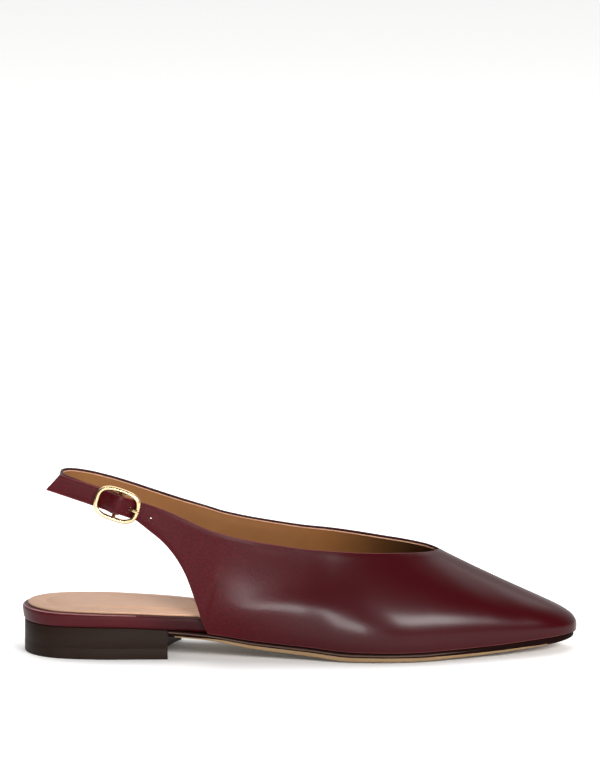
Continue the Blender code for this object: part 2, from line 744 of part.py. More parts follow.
def build_buckle(collection, cutters):
    """Gold frame with its centre bar, and the prong that turns on the bar."""
    def corner(angle):
        power = 2 / FRAME_SQUARENESS
        a = math.copysign(abs(math.cos(angle)) ** power, math.cos(angle)) * FRAME_HALF_LENGTH
        p = math.copysign(abs(math.sin(angle)) ** power, math.sin(angle)) * FRAME_HALF_HEIGHT
        return strap_point(a, p, FRAME_LIFT)

    turns = [2 * math.pi * (k + 0.5) / FRAME_POINTS for k in range(FRAME_POINTS)]
    ring = rod("ring", [corner(turn) for turn in turns], WIRE_RADIUS, WIRE_SIDES, cyclic=True)
    frame = new_object("buckle_frame", "pale_gold", collection, ring)
    ends = [strap_point(0, side * FRAME_HALF_HEIGHT, FRAME_LIFT / 4) for side in (-1, 1)]
    add_tool(frame, rod("centre_bar", ends, BAR_RADIUS, WIRE_SIDES), "UNION", cutters)

    path = [strap_point(row.along, 0, row.outward) for row in PRONG_PATH]
    shank = rod("prong", path, PRONG_RADIUS, WIRE_SIDES)
    prong = new_object("buckle_prong", "pale_gold", collection, shank)
    hook = [
        strap_point(PRONG_RING_RADIUS * math.cos(turn), 0, PRONG_RING_RADIUS * math.sin(turn))
        for turn in np.arange(HOOK_POINTS) * (2 * math.pi / HOOK_POINTS)
    ]
    add_tool(prong, rod("hook", hook, PRONG_RADIUS, WIRE_SIDES, cyclic=True), "UNION", cutters)


def cut_prong_room(upper, cutters):
    """Slot in the sling's loop for the prong's hook, and the prong's hole in the billet."""
    half = PRONG_SLOT_WIDTH / 2
    slot = [strap_point(0, side * half, 0) for side in (-1, 1)]
    add_tool(upper, rod("slot", slot, LOOP_RADIUS + GAP / 2, SLOT_SIDES), "DIFFERENCE", cutters)
    hole = [strap_point(row.along, 0, row.outward) for row in PRONG_PATH[:3]]
    add_tool(upper, rod("hole", hole, PRONG_HOLE_RADIUS, WIRE_SIDES), "DIFFERENCE", cutters)


def main():
    """Builds the shoe's pieces in the order that they are put together."""
    for obj in list(bpy.data.objects):
        bpy.data.objects.remove(obj)
    shoe = bpy.data.collections.new("slingback_flat")
    cutters = bpy.data.collections.new("cutters")
    for collection in (shoe, cutters):
        bpy.context.scene.collection.children.link(collection)
    build_sole(shoe)
    build_heel(shoe)
    build_footbed(shoe)
    upper = build_upper(shoe)
    build_buckle(shoe, cutters)
    cut_prong_room(upper, cutters)


main()
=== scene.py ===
"""Looks of the slingback ballet flat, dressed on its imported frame.

Sizes are millimetres in the shoe's own stations until they become a mesh: u runs from the back of
the footbed's rim to the toe, y from the lateral side (minus) to the medial side (plus), and z up
from the floor. Meshes are in metres, in the frame of the CAD model.
"""
from __future__ import annotations

import json
import logging
import math
from dataclasses import dataclass, field
from enum import Enum
from typing import Callable, Mapping, NamedTuple, Sequence

import bmesh
import bpy
import numpy as np
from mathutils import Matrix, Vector

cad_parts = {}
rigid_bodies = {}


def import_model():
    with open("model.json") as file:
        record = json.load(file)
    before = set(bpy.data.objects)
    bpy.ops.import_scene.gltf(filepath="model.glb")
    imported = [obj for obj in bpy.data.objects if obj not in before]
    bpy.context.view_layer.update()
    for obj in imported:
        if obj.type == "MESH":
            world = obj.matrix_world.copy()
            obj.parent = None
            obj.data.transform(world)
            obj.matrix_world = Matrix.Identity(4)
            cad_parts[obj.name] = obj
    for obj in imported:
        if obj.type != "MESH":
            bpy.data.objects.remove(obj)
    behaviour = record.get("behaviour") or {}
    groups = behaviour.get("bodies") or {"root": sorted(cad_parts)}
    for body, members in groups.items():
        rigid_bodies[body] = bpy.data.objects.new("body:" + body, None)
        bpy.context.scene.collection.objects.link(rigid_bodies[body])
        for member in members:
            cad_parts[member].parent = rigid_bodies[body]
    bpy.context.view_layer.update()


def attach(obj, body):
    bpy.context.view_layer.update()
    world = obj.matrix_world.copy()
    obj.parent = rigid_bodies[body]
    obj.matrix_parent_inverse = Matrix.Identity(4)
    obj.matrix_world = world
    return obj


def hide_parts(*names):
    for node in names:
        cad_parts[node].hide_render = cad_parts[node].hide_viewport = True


MM = 0.001
BODY = "root"
# Points closer than this, in metres, are one point.
MERGE_DISTANCE = 1e-7
# Folds sharper than this stay sharp on a smooth mesh.
SHARP_DEGREES = 50.0
# Reach of a Bezier handle, as a share of its rib, that gives an even curve.
THIRD = 1 / 3
# A Mix node's sockets for colours, which share their names with its other sockets.
MIX_SHARE, MIX_FIRST, MIX_SECOND, MIX_RESULT = 0, 6, 7, 2
Array = np.ndarray
Colour = tuple[float, float, float, float]
log = logging.getLogger("slingback_flat")


class Side(Enum):
    """The two sides of the shoe, by the sign of y."""

    LATERAL = -1
    MEDIAL = 1


class Profile(Enum):
    """The lines of the side profile that a height can be read from."""

    UNDERSIDE = "underside"
    FEATHER = "feather"
    FOOTBED_TOP = "footbed_top"


# Curves


def unit(vectors: Array) -> Array:
    """Vectors scaled to length one."""
    return vectors / np.linalg.norm(vectors, axis=-1, keepdims=True)


def ease(low: float, high: float, value: Array) -> Array:
    """Share from 0 at low to 1 at high, leaving and arriving gently."""
    share = np.clip((np.asarray(value, float) - low) / (high - low), 0, 1)
    return share * share * (3 - 2 * share)


def hermite(knots: Array, values: Array, slope: Array, at: Array) -> Array:
    """Cubic curve through values with given slopes.

    Args:
        knots: places of the values, rising.
        values: one row for each knot.
        slope: slope of each row at its knot.
        at: places to read.

    Returns:
        One row for each place read.
    """
    i = np.clip(np.searchsorted(knots, at, side="right") - 1, 0, len(knots) - 2)
    span = (knots[i + 1] - knots[i])[:, None]
    t = ((at - knots[i])[:, None]) / span
    return (
        (2 * t**3 - 3 * t**2 + 1) * values[i]
        + (t**3 - 2 * t**2 + t) * span * slope[i]
        + (3 * t**2 - 2 * t**3) * values[i + 1]
        + (t**3 - t**2) * span * slope[i + 1]
    )


def smooth(knots: Sequence[float], values: Sequence, at: Sequence[float]) -> Array:
    """Smooth curve through rows of values, its slopes taken from their neighbours.

    Args:
        knots: places of the rows, rising.
        values: one row, or one number, for each knot.
        at: places to read.

    Returns:
        One row for each place read.
    """
    places = np.asarray(knots, float)
    rows = np.asarray(values, float).reshape(len(places), -1)
    step = np.diff(places)[:, None]
    rise = np.diff(rows, axis=0) / step
    inner = (rise[:-1] * step[1:] + rise[1:] * step[:-1]) / (step[1:] + step[:-1])
    slope = np.vstack([rise[:1], inner, rise[-1:]])
    return hermite(places, rows, slope, np.asarray(at, float))


def chord_knots(points: Array) -> Array:
    """Knots spaced by the square root of each chord, so that tight corners stay round."""
    steps = np.sqrt(np.linalg.norm(np.diff(points, axis=0), axis=1))
    return np.concatenate([[0.0], np.cumsum(steps)])


# The last


class OutlineRow(NamedTuple):
    """Half-widths of the plan at one station."""

    u: float
    lateral: float
    medial: float


class SideRow(NamedTuple):
    """Heights of the side profile at one station."""

    u: float
    underside: float
    feather: float
    footbed_top: float


class Level(NamedTuple):
    """One outline of a lofted slab: the plan drawn in by an inset, at a height."""

    inset: float
    height: Callable[[Array], Array]


class Slab(NamedTuple):
    """Points and faces of a lofted slab, with the band of each face counted from the bottom."""

    points: Array
    faces: Array
    bands: Array


@dataclass
class Last:
    """The last that the shoe is made on: its plan at the feather line and its side profile."""

    length: float = 264.0
    origin_y: float = 0.45
    toe_tip_y: float = 4.0
    samples: int = 1440
    tuck_start: float = 66.0
    tuck_end: float = 90.0
    tuck_inset: float = 2.3
    breast_lateral: float = 69.3
    breast_medial: float = 75.5
    breast_hollow: float = 4.5
    outline: tuple[OutlineRow, ...] = (
        OutlineRow(1.4, 8.5, 8.0),
        OutlineRow(6, 16.6, 15.8),
        OutlineRow(15, 23.4, 22.2),
        OutlineRow(35, 27.4, 25.6),
        OutlineRow(60, 27.1, 24.4),
        OutlineRow(90, 27.0, 22.5),
        OutlineRow(112, 28.6, 22.8),
        OutlineRow(132, 32.0, 26.6),
        OutlineRow(150, 35.6, 33.0),
        OutlineRow(166, 37.4, 37.0),
        OutlineRow(182, 36.8, 38.4),
        OutlineRow(200, 32.6, 36.4),
        OutlineRow(220, 25.6, 30.8),
        OutlineRow(240, 17.6, 24.0),
        OutlineRow(252, 12.0, 19.4),
        OutlineRow(259.2, 6.6, 14.4),
        OutlineRow(262.9, 1.4, 9.6),
    )
    profile: tuple[SideRow, ...] = (
        SideRow(0, 15.5, 15.5, 22.6),
        SideRow(40, 15.5, 15.7, 22.0),
        SideRow(69, 10.4, 14.4, 20.8),
        SideRow(88, 8.5, 12.6, 19.4),
        SideRow(111, 4.4, 9.2, 15.0),
        SideRow(137, 1.9, 7.1, 10.8),
        SideRow(157, 0.0, 5.4, 8.8),
        SideRow(188, 0.0, 5.1, 8.4),
        SideRow(204, 0.6, 5.6, 8.6),
        SideRow(224, 1.5, 6.2, 9.1),
        SideRow(244, 2.9, 7.4, 10.2),
        SideRow(258, 4.4, 8.2, 10.8),
        SideRow(264, 5.5, 8.5, 11.0),
    )
    plan: Array = field(init=False)
    normals: Array = field(init=False)
    tip: int = field(init=False)

    def __post_init__(self) -> None:
        """Draws the closed plan, from the heel along the lateral side to the toe and back."""
        loop = [(0.0, 0.0)]
        loop += [(row.u, -row.lateral) for row in self.outline]
        loop += [(self.length, self.toe_tip_y)]
        loop += [(row.u, row.medial) for row in reversed(self.outline)]
        loop += [(0.0, 0.0)]
        lap = loop[-3:-1] + loop + loop[1:3]
        knots = chord_knots(np.array(lap))
        self.plan = smooth(knots, lap, np.linspace(knots[2], knots[-3], self.samples + 1))
        ring = self.plan[:-1]
        tangent = np.roll(ring, -1, axis=0) - np.roll(ring, 1, axis=0)
        tangent = np.vstack([tangent, tangent[:1]])
        self.normals = unit(np.column_stack([tangent[:, 1], -tangent[:, 0]]))
        self.tip = int(np.argmax(self.plan[:, 0]))

    def metres(self, points: Array) -> Array:
        """Shoe stations in millimetres to the model's frame in metres.

        Args:
            points: places as u, y and z, in an array of any shape.

        Returns:
            One row for each place.
        """
        placed = np.array(points, float).reshape(-1, 3)
        placed[:, 0] -= self.length / 2
        placed[:, 1] -= self.origin_y
        return placed * MM

    def level(self, line: Profile, u: Array) -> Array:
        """Height of one line of the side profile; its level runs stay exactly level.

        Args:
            line: which line to read.
            u: stations.

        Returns:
            The height at each station.
        """
        stations = np.array([row.u for row in self.profile], float)
        heights = np.array([getattr(row, line.value) for row in self.profile], float)
        rise = np.diff(heights) / np.diff(stations)
        turning = rise[:-1] * rise[1:] <= 0
        total = np.where(turning, 1.0, rise[:-1] + rise[1:])
        inner = np.where(turning, 0.0, 2 * rise[:-1] * rise[1:] / total)
        slope = np.concatenate([rise[:1], inner, rise[-1:]])[:, None]
        places = np.clip(np.atleast_1d(np.asarray(u, float)), stations[0], stations[-1])
        flat = hermite(stations, heights[:, None], slope, places.ravel())[:, 0]
        return flat.reshape(np.shape(u)) if np.ndim(u) else float(flat[0])

    def feather_share(self, u: float, side: Side) -> float:
        """Place along the closed plan, as a share of its points, at a station on one side.

        Args:
            u: the station.
            side: which side of the shoe.

        Returns:
            The share, from 0 to 1.
        """
        if side is Side.LATERAL:
            index = np.interp(u, self.plan[: self.tip + 1, 0], np.arange(self.tip + 1))
        else:
            back = np.arange(len(self.plan) - 1, self.tip - 1, -1)
            index = np.interp(u, self.plan[back, 0], back)
        return float(index) / (len(self.plan) - 1)

    def feather_point(self, share: float) -> tuple[Array, Array]:
        """Point of the feather line and its outward direction at a share of the closed plan.

        Args:
            share: place along the plan, from 0 to 1.

        Returns:
            The point and the level unit vector.
        """
        at = share * (len(self.plan) - 1)
        index = np.arange(len(self.plan))
        u, y = (np.interp(at, index, self.plan[:, axis]) for axis in (0, 1))
        out = np.array([np.interp(at, index, self.normals[:, axis]) for axis in (0, 1)] + [0.0])
        return np.array([u, y, self.level(Profile.FEATHER, u)]), unit(out)

    def sides(self, inset: float, tucked: bool) -> tuple[Array, Array]:
        """Lateral and medial sides of the plan drawn in by an inset, from heel to toe.

        Args:
            inset: how far the plan is drawn in.
            tucked: whether it is drawn in further where the upper stands round it.

        Returns:
            Two lists of (u, y).
        """
        tuck = self.tuck_inset * ease(self.tuck_start, self.tuck_end, self.plan[:, 0])
        curve = self.plan - self.normals * (inset + tuck * tucked)[:, None]
        heel = int(np.argmin(curve[:, 0]))
        around = np.roll(curve[:-1], -heel, axis=0)
        tip = int(np.argmax(around[:, 0]))
        return around[: tip + 1], np.vstack([around[tip:], around[:1]])[::-1]

    def breast(self, v: Array) -> Array:
        """Station of the heel's hollowed breast, v running from 0 lateral to 1 medial."""
        hollow = self.breast_hollow * (1 - (2 * v - 1) ** 2)
        return self.breast_lateral + (self.breast_medial - self.breast_lateral) * v - hollow

    def ring(
        self,
        inset: float,
        rows: int,
        columns: int,
        start: Callable[[Array], Array] | None,
        finish: Callable[[Array], Array] | None,
        tucked: bool,
    ) -> tuple[Array, Array]:
        """Plan points of one outline of a slab, as rows along the shoe by columns across it.

        Args:
            inset: how far the plan is drawn in.
            rows: steps along the shoe.
            columns: steps across it.
            start: station of the back end, if it isn't the heel.
            finish: station of the front end, if it isn't the toe.
            tucked: whether it is drawn in where the upper stands round it.

        Returns:
            Stations and y of the points.
        """
        lateral, medial = self.sides(inset, tucked)
        v = np.linspace(0, 1, columns + 1)
        first = np.full_like(v, max(lateral[0, 0], medial[0, 0])) if start is None else start(v)
        last = np.full_like(v, min(lateral[-1, 0], medial[-1, 0])) if finish is None else finish(v)
        f = np.linspace(0, 1, rows + 1)
        if start is None and finish is None:
            f = (1 - np.cos(math.pi * f)) / 2
        elif start is None:
            f = 1 - np.cos(math.pi / 2 * f)
        else:
            f = np.sin(math.pi / 2 * f)
        u = first[None, :] + (last - first)[None, :] * f[:, None]
        near = np.interp(u, lateral[:, 0], lateral[:, 1])
        far = np.interp(u, medial[:, 0], medial[:, 1])
        return u, near * (1 - v) + far * v

    def slab(
        self,
        levels: Sequence[Level],
        rows: int,
        columns: int,
        start: Callable[[Array], Array] | None = None,
        finish: Callable[[Array], Array] | None = None,
        tucked: bool = False,
    ) -> Slab:
        """Closed slab lofted through plan outlines.

        Args:
            levels: its outlines, from the bottom round the edge to the top.
            rows: steps along the shoe.
            columns: steps across it.
            start: station of its back end across the shoe, if it isn't the heel.
            finish: station of its front end across the shoe, if it isn't the toe.
            tucked: whether it is drawn in where the upper stands round it.

        Returns:
            The slab, with the bottom as band 0 and the top as the last band.
        """
        points, faces, bands, rims = [], [], [], []
        size = (rows + 1) * (columns + 1)
        for number, (inset, height) in enumerate(levels):
            u, y = self.ring(inset, rows, columns, start, finish, tucked)
            points.append(np.column_stack([u.ravel(), y.ravel(), height(u.ravel())]))
            index = number * size + np.arange(size).reshape(rows + 1, columns + 1)
            rims.append(np.concatenate(
                [index[:, 0], index[-1, 1:], index[-2::-1, -1], index[0, -2:0:-1]]
            ))
            if number in (0, len(levels) - 1):
                cells = quads(rows + 1, columns + 1) + number * size
                faces.append(cells)
                bands.append(np.full(len(cells), number + (number > 0)))
        for number, (low, high) in enumerate(zip(rims, rims[1:])):
            walls = np.column_stack([low, np.roll(low, -1), np.roll(high, -1), high])
            faces.append(walls)
            bands.append(np.full(len(walls), number + 1))
        return Slab(np.vstack(points), np.vstack(faces), np.concatenate(bands))


# Meshes


def quads(rows: int, columns: int, wrap: bool = False) -> Array:
    """Corner numbers of a grid's faces, closed across its columns if it wraps.

    Args:
        rows: rows of points.
        columns: points in a row.
        wrap: whether the last column meets the first.

    Returns:
        Four numbers for each face.
    """
    i = np.arange(rows - 1)[:, None]
    j = np.arange(columns if wrap else columns - 1)[None, :]
    k = (j + 1) % columns
    corners = [i * columns + j, i * columns + k, (i + 1) * columns + k, (i + 1) * columns + j]
    return np.stack(corners, axis=-1).reshape(-1, 4)


def close_seams(mesh: bpy.types.Mesh) -> None:
    """Merges doubled points, drops loose ones and turns the faces outward.

    Args:
        mesh: closed mesh, changed in place.
    """
    work = bmesh.new()
    work.from_mesh(mesh)
    bmesh.ops.remove_doubles(work, verts=work.verts, dist=MERGE_DISTANCE)
    bmesh.ops.dissolve_degenerate(work, edges=work.edges, dist=MERGE_DISTANCE)
    loose = [vert for vert in work.verts if not vert.link_faces]
    bmesh.ops.delete(work, geom=loose, context="VERTS")
    bmesh.ops.recalc_face_normals(work, faces=work.faces)
    work.to_mesh(mesh)
    work.free()


def make_mesh(
    name: str,
    points: Array,
    faces: Sequence[Sequence[int]],
    finishes: Sequence[bpy.types.Material],
    worn: Sequence[int],
    merge: bool = False,
    sharp_degrees: float = SHARP_DEGREES,
) -> bpy.types.Mesh:
    """Smooth mesh whose faces wear the finishes that their numbers name.

    Args:
        name: name of the mesh.
        points: places in metres.
        faces: corner numbers of each face.
        finishes: materials, in the order that worn counts them.
        worn: number of each face's material.
        merge: whether doubled points are merged and the faces turned outward again.
        sharp_degrees: folds sharper than this stay sharp.

    Returns:
        The mesh.
    """
    mesh = bpy.data.meshes.new(name)
    mesh.from_pydata(points.tolist(), [], [[int(k) for k in face] for face in faces])
    mesh.polygons.foreach_set("material_index", np.asarray(worn, dtype=np.int32))
    for material in finishes:
        mesh.materials.append(material)
    if merge:
        close_seams(mesh)
    mesh.shade_smooth()
    mesh.set_sharp_from_angle(angle=math.radians(sharp_degrees))
    return mesh


def show(name: str, mesh: bpy.types.Mesh) -> bpy.types.Object:
    """Object for a mesh, at the origin, in the scene.

    Args:
        name: name of the object.
        mesh: its mesh, in place.

    Returns:
        The object.
    """
    piece = bpy.data.objects.new(name, mesh)
    bpy.context.scene.collection.objects.link(piece)
    return piece


def settle(piece: bpy.types.Object, node: str, slot: str) -> bpy.types.Object:
    """Puts a finished piece on the frame.

    Args:
        piece: the piece, in place.
        node: CAD node that it stands for.
        slot: not used.

    Returns:
        The same piece.
    """
    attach(piece, BODY)
    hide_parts(node)
    log.info("%s stands for %s, %d faces", piece.name, node, len(piece.data.polygons))
    return piece


def settle_slab(
    last: Last,
    slab: Slab,
    name: str,
    finishes: Sequence[bpy.types.Material],
    worn: Array | int,
    node: str,
    slot: str,
) -> bpy.types.Object:
    """Makes a slab a piece and puts it on the frame.

    Args:
        last: the last that the slab was lofted on.
        slab: its points, faces and bands.
        name: name of the piece.
        finishes: materials, in the order that worn counts them.
        worn: number of each face's material, or one number for all faces.
        node: CAD node that it stands for.
        slot: not used; passed on to settle.

    Returns:
        The piece.
    """
    numbers = np.broadcast_to(worn, len(slab.faces))
    mesh = make_mesh(name, last.metres(slab.points), slab.faces, finishes, numbers, merge=True)
    return settle(show(name, mesh), node, slot)


def evaluated(piece: bpy.types.Object, name: str) -> bpy.types.Mesh:
    """Plain mesh of an object with its modifiers worked out; the object is removed.

    Args:
        piece: the object.
        name: name of the mesh.

    Returns:
        The mesh.
    """
    depsgraph = bpy.context.evaluated_depsgraph_get()
    mesh = bpy.data.meshes.new_from_object(piece.evaluated_get(depsgraph))
    mesh.name = name
    bpy.data.objects.remove(piece)
    return mesh


def carve(
    mesh: bpy.types.Mesh, tools: Sequence[bpy.types.Mesh], operation: str
) -> bpy.types.Mesh:
    """Exact boolean of a mesh with closed tools.

    Args:
        mesh: closed mesh to work on.
        tools: closed meshes, in metres, in place.
        operation: UNION or DIFFERENCE.

    Returns:
        The new mesh.
    """
    work = show(mesh.name, mesh)
    helpers = []
    for number, tool in enumerate(tools):
        helper = show(f"tool_{number}", tool)
        cut = work.modifiers.new(helper.name, "BOOLEAN")
        cut.operation = operation
        cut.solver = "EXACT"
        cut.object = helper
        helpers.append(helper)
    result = evaluated(work, mesh.name)
    for helper in helpers:
        bpy.data.objects.remove(helper)
    return result


# Nodes


def hex_linear(code: str) -> Colour:
    """Linear colour of an sRGB hex code.

    Args:
        code: a hash mark and six hex digits.

    Returns:
        Red, green, blue and alpha.
    """
    shares = [int(code[k : k + 2], 16) / 255 for k in (1, 3, 5)]
    linear = [s / 12.92 if s <= 0.04045 else ((s + 0.055) / 1.055) ** 2.4 for s in shares]
    return (linear[0], linear[1], linear[2], 1.0)


def add_node(
    tree: bpy.types.NodeTree,
    kind: str,
    inputs: Mapping[str | int, object] | None = None,
    **settings: object,
) -> bpy.types.Node:
    """Node with its settings and inputs.

    Args:
        tree: tree that takes the node.
        kind: Blender's name of the node.
        inputs: values, or output sockets to link, by the input's name or number.
        settings: the node's own properties.

    Returns:
        The node.
    """
    node = tree.nodes.new(kind)
    for key, value in settings.items():
        setattr(node, key, value)
    for key, value in (inputs or {}).items():
        if isinstance(value, bpy.types.NodeSocket):
            tree.links.new(value, node.inputs[key])
        else:
            node.inputs[key].default_value = value
    return node


@dataclass
class WireSweep:
    """Geometry Nodes tree that sweeps a round section along the edges of a mesh."""

    name: str = "round_wire_sweep"
    tree: bpy.types.NodeTree = field(init=False)
    ids: dict[str, str] = field(init=False)

    def __post_init__(self) -> None:
        """Builds the tree: edges to a curve, a round section along it, and its material."""
        self.tree = bpy.data.node_groups.new(self.name, "GeometryNodeTree")
        face = self.tree.interface
        face.new_socket("Path", in_out="INPUT", socket_type="NodeSocketGeometry")
        sockets = [
            face.new_socket("Wire Radius", in_out="INPUT", socket_type="NodeSocketFloat"),
            face.new_socket("Section Points", in_out="INPUT", socket_type="NodeSocketInt"),
            face.new_socket("Finish", in_out="INPUT", socket_type="NodeSocketMaterial"),
        ]
        self.ids = {socket.name: socket.identifier for socket in sockets}
        face.new_socket("Wire", in_out="OUTPUT", socket_type="NodeSocketGeometry")
        given = add_node(self.tree, "NodeGroupInput").outputs
        path = add_node(self.tree, "GeometryNodeMeshToCurve", {"Mesh": given["Path"]})
        section = add_node(
            self.tree,
            "GeometryNodeCurvePrimitiveCircle",
            {"Resolution": given["Section Points"], "Radius": given["Wire Radius"]},
        )
        wire = add_node(
            self.tree,
            "GeometryNodeCurveToMesh",
            {"Curve": path.outputs[0], "Profile Curve": section.outputs[0], "Fill Caps": True},
        )
        whole = add_node(self.tree, "GeometryNodeRealizeInstances", {"Geometry": wire.outputs[0]})
        worn = add_node(
            self.tree,
            "GeometryNodeSetMaterial",
            {"Geometry": whole.outputs[0], "Material": given["Finish"]},
        )
        add_node(self.tree, "NodeGroupOutput", {"Wire": worn.outputs[0]})

    def wire(
        self,
        name: str,
        path: Array,
        radius: float,
        finish: bpy.types.Material,
        closed: bool = False,
        section_points: int = 20,
    ) -> bpy.types.Mesh:
        """Round wire along a path.

        Args:
            name: name of the mesh.
            path: places in metres.
            radius: radius of the wire in millimetres.
            finish: its material.
            closed: whether the path meets its start.
            section_points: points round the wire.

        Returns:
            The closed mesh.
        """
        mesh = bpy.data.meshes.new(name)
        count = len(path)
        edges = [(k, (k + 1) % count) for k in range(count if closed else count - 1)]
        mesh.from_pydata(path.tolist(), edges, [])
        work = show(name, mesh)
        sweep = work.modifiers.new(self.name, "NODES")
        sweep.node_group = self.tree
        sweep[self.ids["Wire Radius"]] = radius * MM
        sweep[self.ids["Section Points"]] = section_points
        sweep[self.ids["Finish"]] = finish
        result = evaluated(work, name)
        close_seams(result)
        result.shade_smooth()
        result.set_sharp_from_angle(angle=math.radians(SHARP_DEGREES))
        return result


# Finishes


@dataclass(frozen=True)
class Finish:
    """A surface: its colour and how it takes the light."""

    name: str
    colour: str
    roughness: float
    metallic: float = 0.0
    specular: float = 0.5
    coat_roughness: float = 0.2

    def material(self) -> bpy.types.Material:
        """The finish as a material, made once.

        Returns:
            The material, with its detail wired.
        """
        known = bpy.data.materials.get(self.name)
        if known is not None:
            return known
        material = bpy.data.materials.new(self.name)
        material.use_nodes = True
        shader = material.node_tree.nodes["Principled BSDF"]
        for socket, value in (
            ("Base Color", hex_linear(self.colour)),
            ("Roughness", self.roughness),
            ("Metallic", self.metallic),
            ("Specular IOR Level", self.specular),
            ("Coat Roughness", self.coat_roughness),
        ):
            shader.inputs[socket].default_value = value
        self.dress(material.node_tree, shader)
        return material

    def dress(self, tree: bpy.types.NodeTree, shader: bpy.types.Node) -> None:
        """Adds the surface's own detail; a plain finish has none."""


class Surface(NamedTuple):
    """Nodes of a leather: its tree, its shader, the height of its grain and the grain's bump."""

    tree: bpy.types.NodeTree
    shader: bpy.types.Node
    grain: bpy.types.NodeSocket
    bump: bpy.types.Node


@dataclass(frozen=True)
class Leather(Finish):
    """Leather: two close tones in soft patches, a fine grain, and a polish that comes and goes."""

    tone: str = "#000000"
    patch_mm: float = 16.0
    grain_mm: float = 1.1
    grain_depth_mm: float = 0.03
    pore_mm: float = 0.4
    polish_mm: float = 22.0
    polish_spread: float = 0.05
    stretch: tuple[float, float, float] = (1.0, 1.0, 1.0)

    def dress(self, tree: bpy.types.NodeTree, shader: bpy.types.Node) -> None:
        """Wires the patches of tone, the polish and the grain.

        Args:
            tree: the material's node tree.
            shader: its Principled BSDF.
        """
        place = add_node(tree, "ShaderNodeTexCoord").outputs["Object"]
        patches = add_node(
            tree,
            "ShaderNodeTexNoise",
            {"Vector": place, "Scale": 1 / (self.patch_mm * MM), "Detail": 4.0},
        )
        colour = add_node(
            tree,
            "ShaderNodeMix",
            {
                MIX_SHARE: patches.outputs[0],
                MIX_FIRST: hex_linear(self.colour),
                MIX_SECOND: hex_linear(self.tone),
            },
            data_type="RGBA",
        )
        tree.links.new(colour.outputs[MIX_RESULT], shader.inputs["Base Color"])
        worn = add_node(
            tree,
            "ShaderNodeTexNoise",
            {"Vector": place, "Scale": 1 / (self.polish_mm * MM), "Detail": 2.0},
        )
        polish = add_node(
            tree,
            "ShaderNodeMapRange",
            {
                "Value": worn.outputs[0],
                "From Min": 0.2,
                "From Max": 0.8,
                "To Min": self.roughness - self.polish_spread,
                "To Max": self.roughness + self.polish_spread,
            },
            interpolation_type="SMOOTHSTEP",
        )
        tree.links.new(polish.outputs[0], shader.inputs["Roughness"])
        laid = add_node(
            tree, "ShaderNodeMapping", {"Vector": place, "Scale": self.stretch}
        ).outputs[0]
        grain = add_node(
            tree,
            "ShaderNodeTexVoronoi",
            {"Vector": laid, "Scale": 1 / (self.grain_mm * MM), "Smoothness": 0.6},
            feature="SMOOTH_F1",
        )
        pores = add_node(
            tree,
            "ShaderNodeTexNoise",
            {"Vector": laid, "Scale": 1 / (self.pore_mm * MM), "Detail": 3.0},
        )
        height = add_node(
            tree,
            "ShaderNodeMath",
            {0: grain.outputs["Distance"], 1: pores.outputs[0]},
            operation="ADD",
        )
        bump = add_node(
            tree,
            "ShaderNodeBump",
            {"Height": height.outputs[0], "Distance": self.grain_depth_mm * MM},
        )
        tree.links.new(bump.outputs[0], shader.inputs["Normal"])
        self.burnish(Surface(tree, shader, grain.outputs["Distance"], bump))

    def burnish(self, surface: Surface) -> None:
        """Changes the leather from the back to the toe; a plain leather is the same all over."""


@dataclass(frozen=True)
class ShadedLeather(Leather):
    """Leather that turns deeper along the shoe, towards the toe, or across it. On the rim and the
    lining the change is painted shade, on the sock a painted lightening, and on the edge paint
    both.
    """

    shade_span: tuple[float, float] = (0.0, 0.05)
    front_shade: float = 1.0
    axis: str = "X"

    def along(
        self, tree: bpy.types.NodeTree, span: tuple[float, float], back: float, front: float
    ) -> bpy.types.NodeSocket:
        """Value that eases from one to another over a span, in metres, of the leather's axis.

        Args:
            tree: the material's node tree.
            span: where the change begins and ends.
            back: value before the span.
            front: value after it.

        Returns:
            The value.
        """
        place = add_node(tree, "ShaderNodeTexCoord").outputs["Object"]
        axes = add_node(tree, "ShaderNodeSeparateXYZ", {0: place})
        return add_node(
            tree,
            "ShaderNodeMapRange",
            {
                "Value": axes.outputs[self.axis],
                "From Min": span[0],
                "From Max": span[1],
                "To Min": back,
                "To Max": front,
            },
            interpolation_type="SMOOTHSTEP",
        ).outputs[0]

    @staticmethod
    def combine(
        tree: bpy.types.NodeTree,
        operation: str,
        first: bpy.types.NodeSocket,
        second: bpy.types.NodeSocket,
    ) -> bpy.types.NodeSocket:
        """Two values put together by one sum or product."""
        return add_node(
            tree, "ShaderNodeMath", {0: first, 1: second}, operation=operation
        ).outputs[0]

    @staticmethod
    def deepen(surface: Surface, value: bpy.types.NodeSocket) -> None:
        """Multiplies the base colour by a value.

        Args:
            surface: the leather's nodes.
            value: the factor.
        """
        base = surface.shader.inputs["Base Color"]
        tone = base.links[0].from_socket
        toned = add_node(surface.tree, "ShaderNodeHueSaturation", {"Color": tone, "Value": value})
        surface.tree.links.new(toned.outputs[0], base)

    def burnish(self, surface: Surface) -> None:
        """Deepens the colour along the shade's span."""
        shade = self.along(surface.tree, self.shade_span, 1.0, self.front_shade)
        self.deepen(surface, shade)


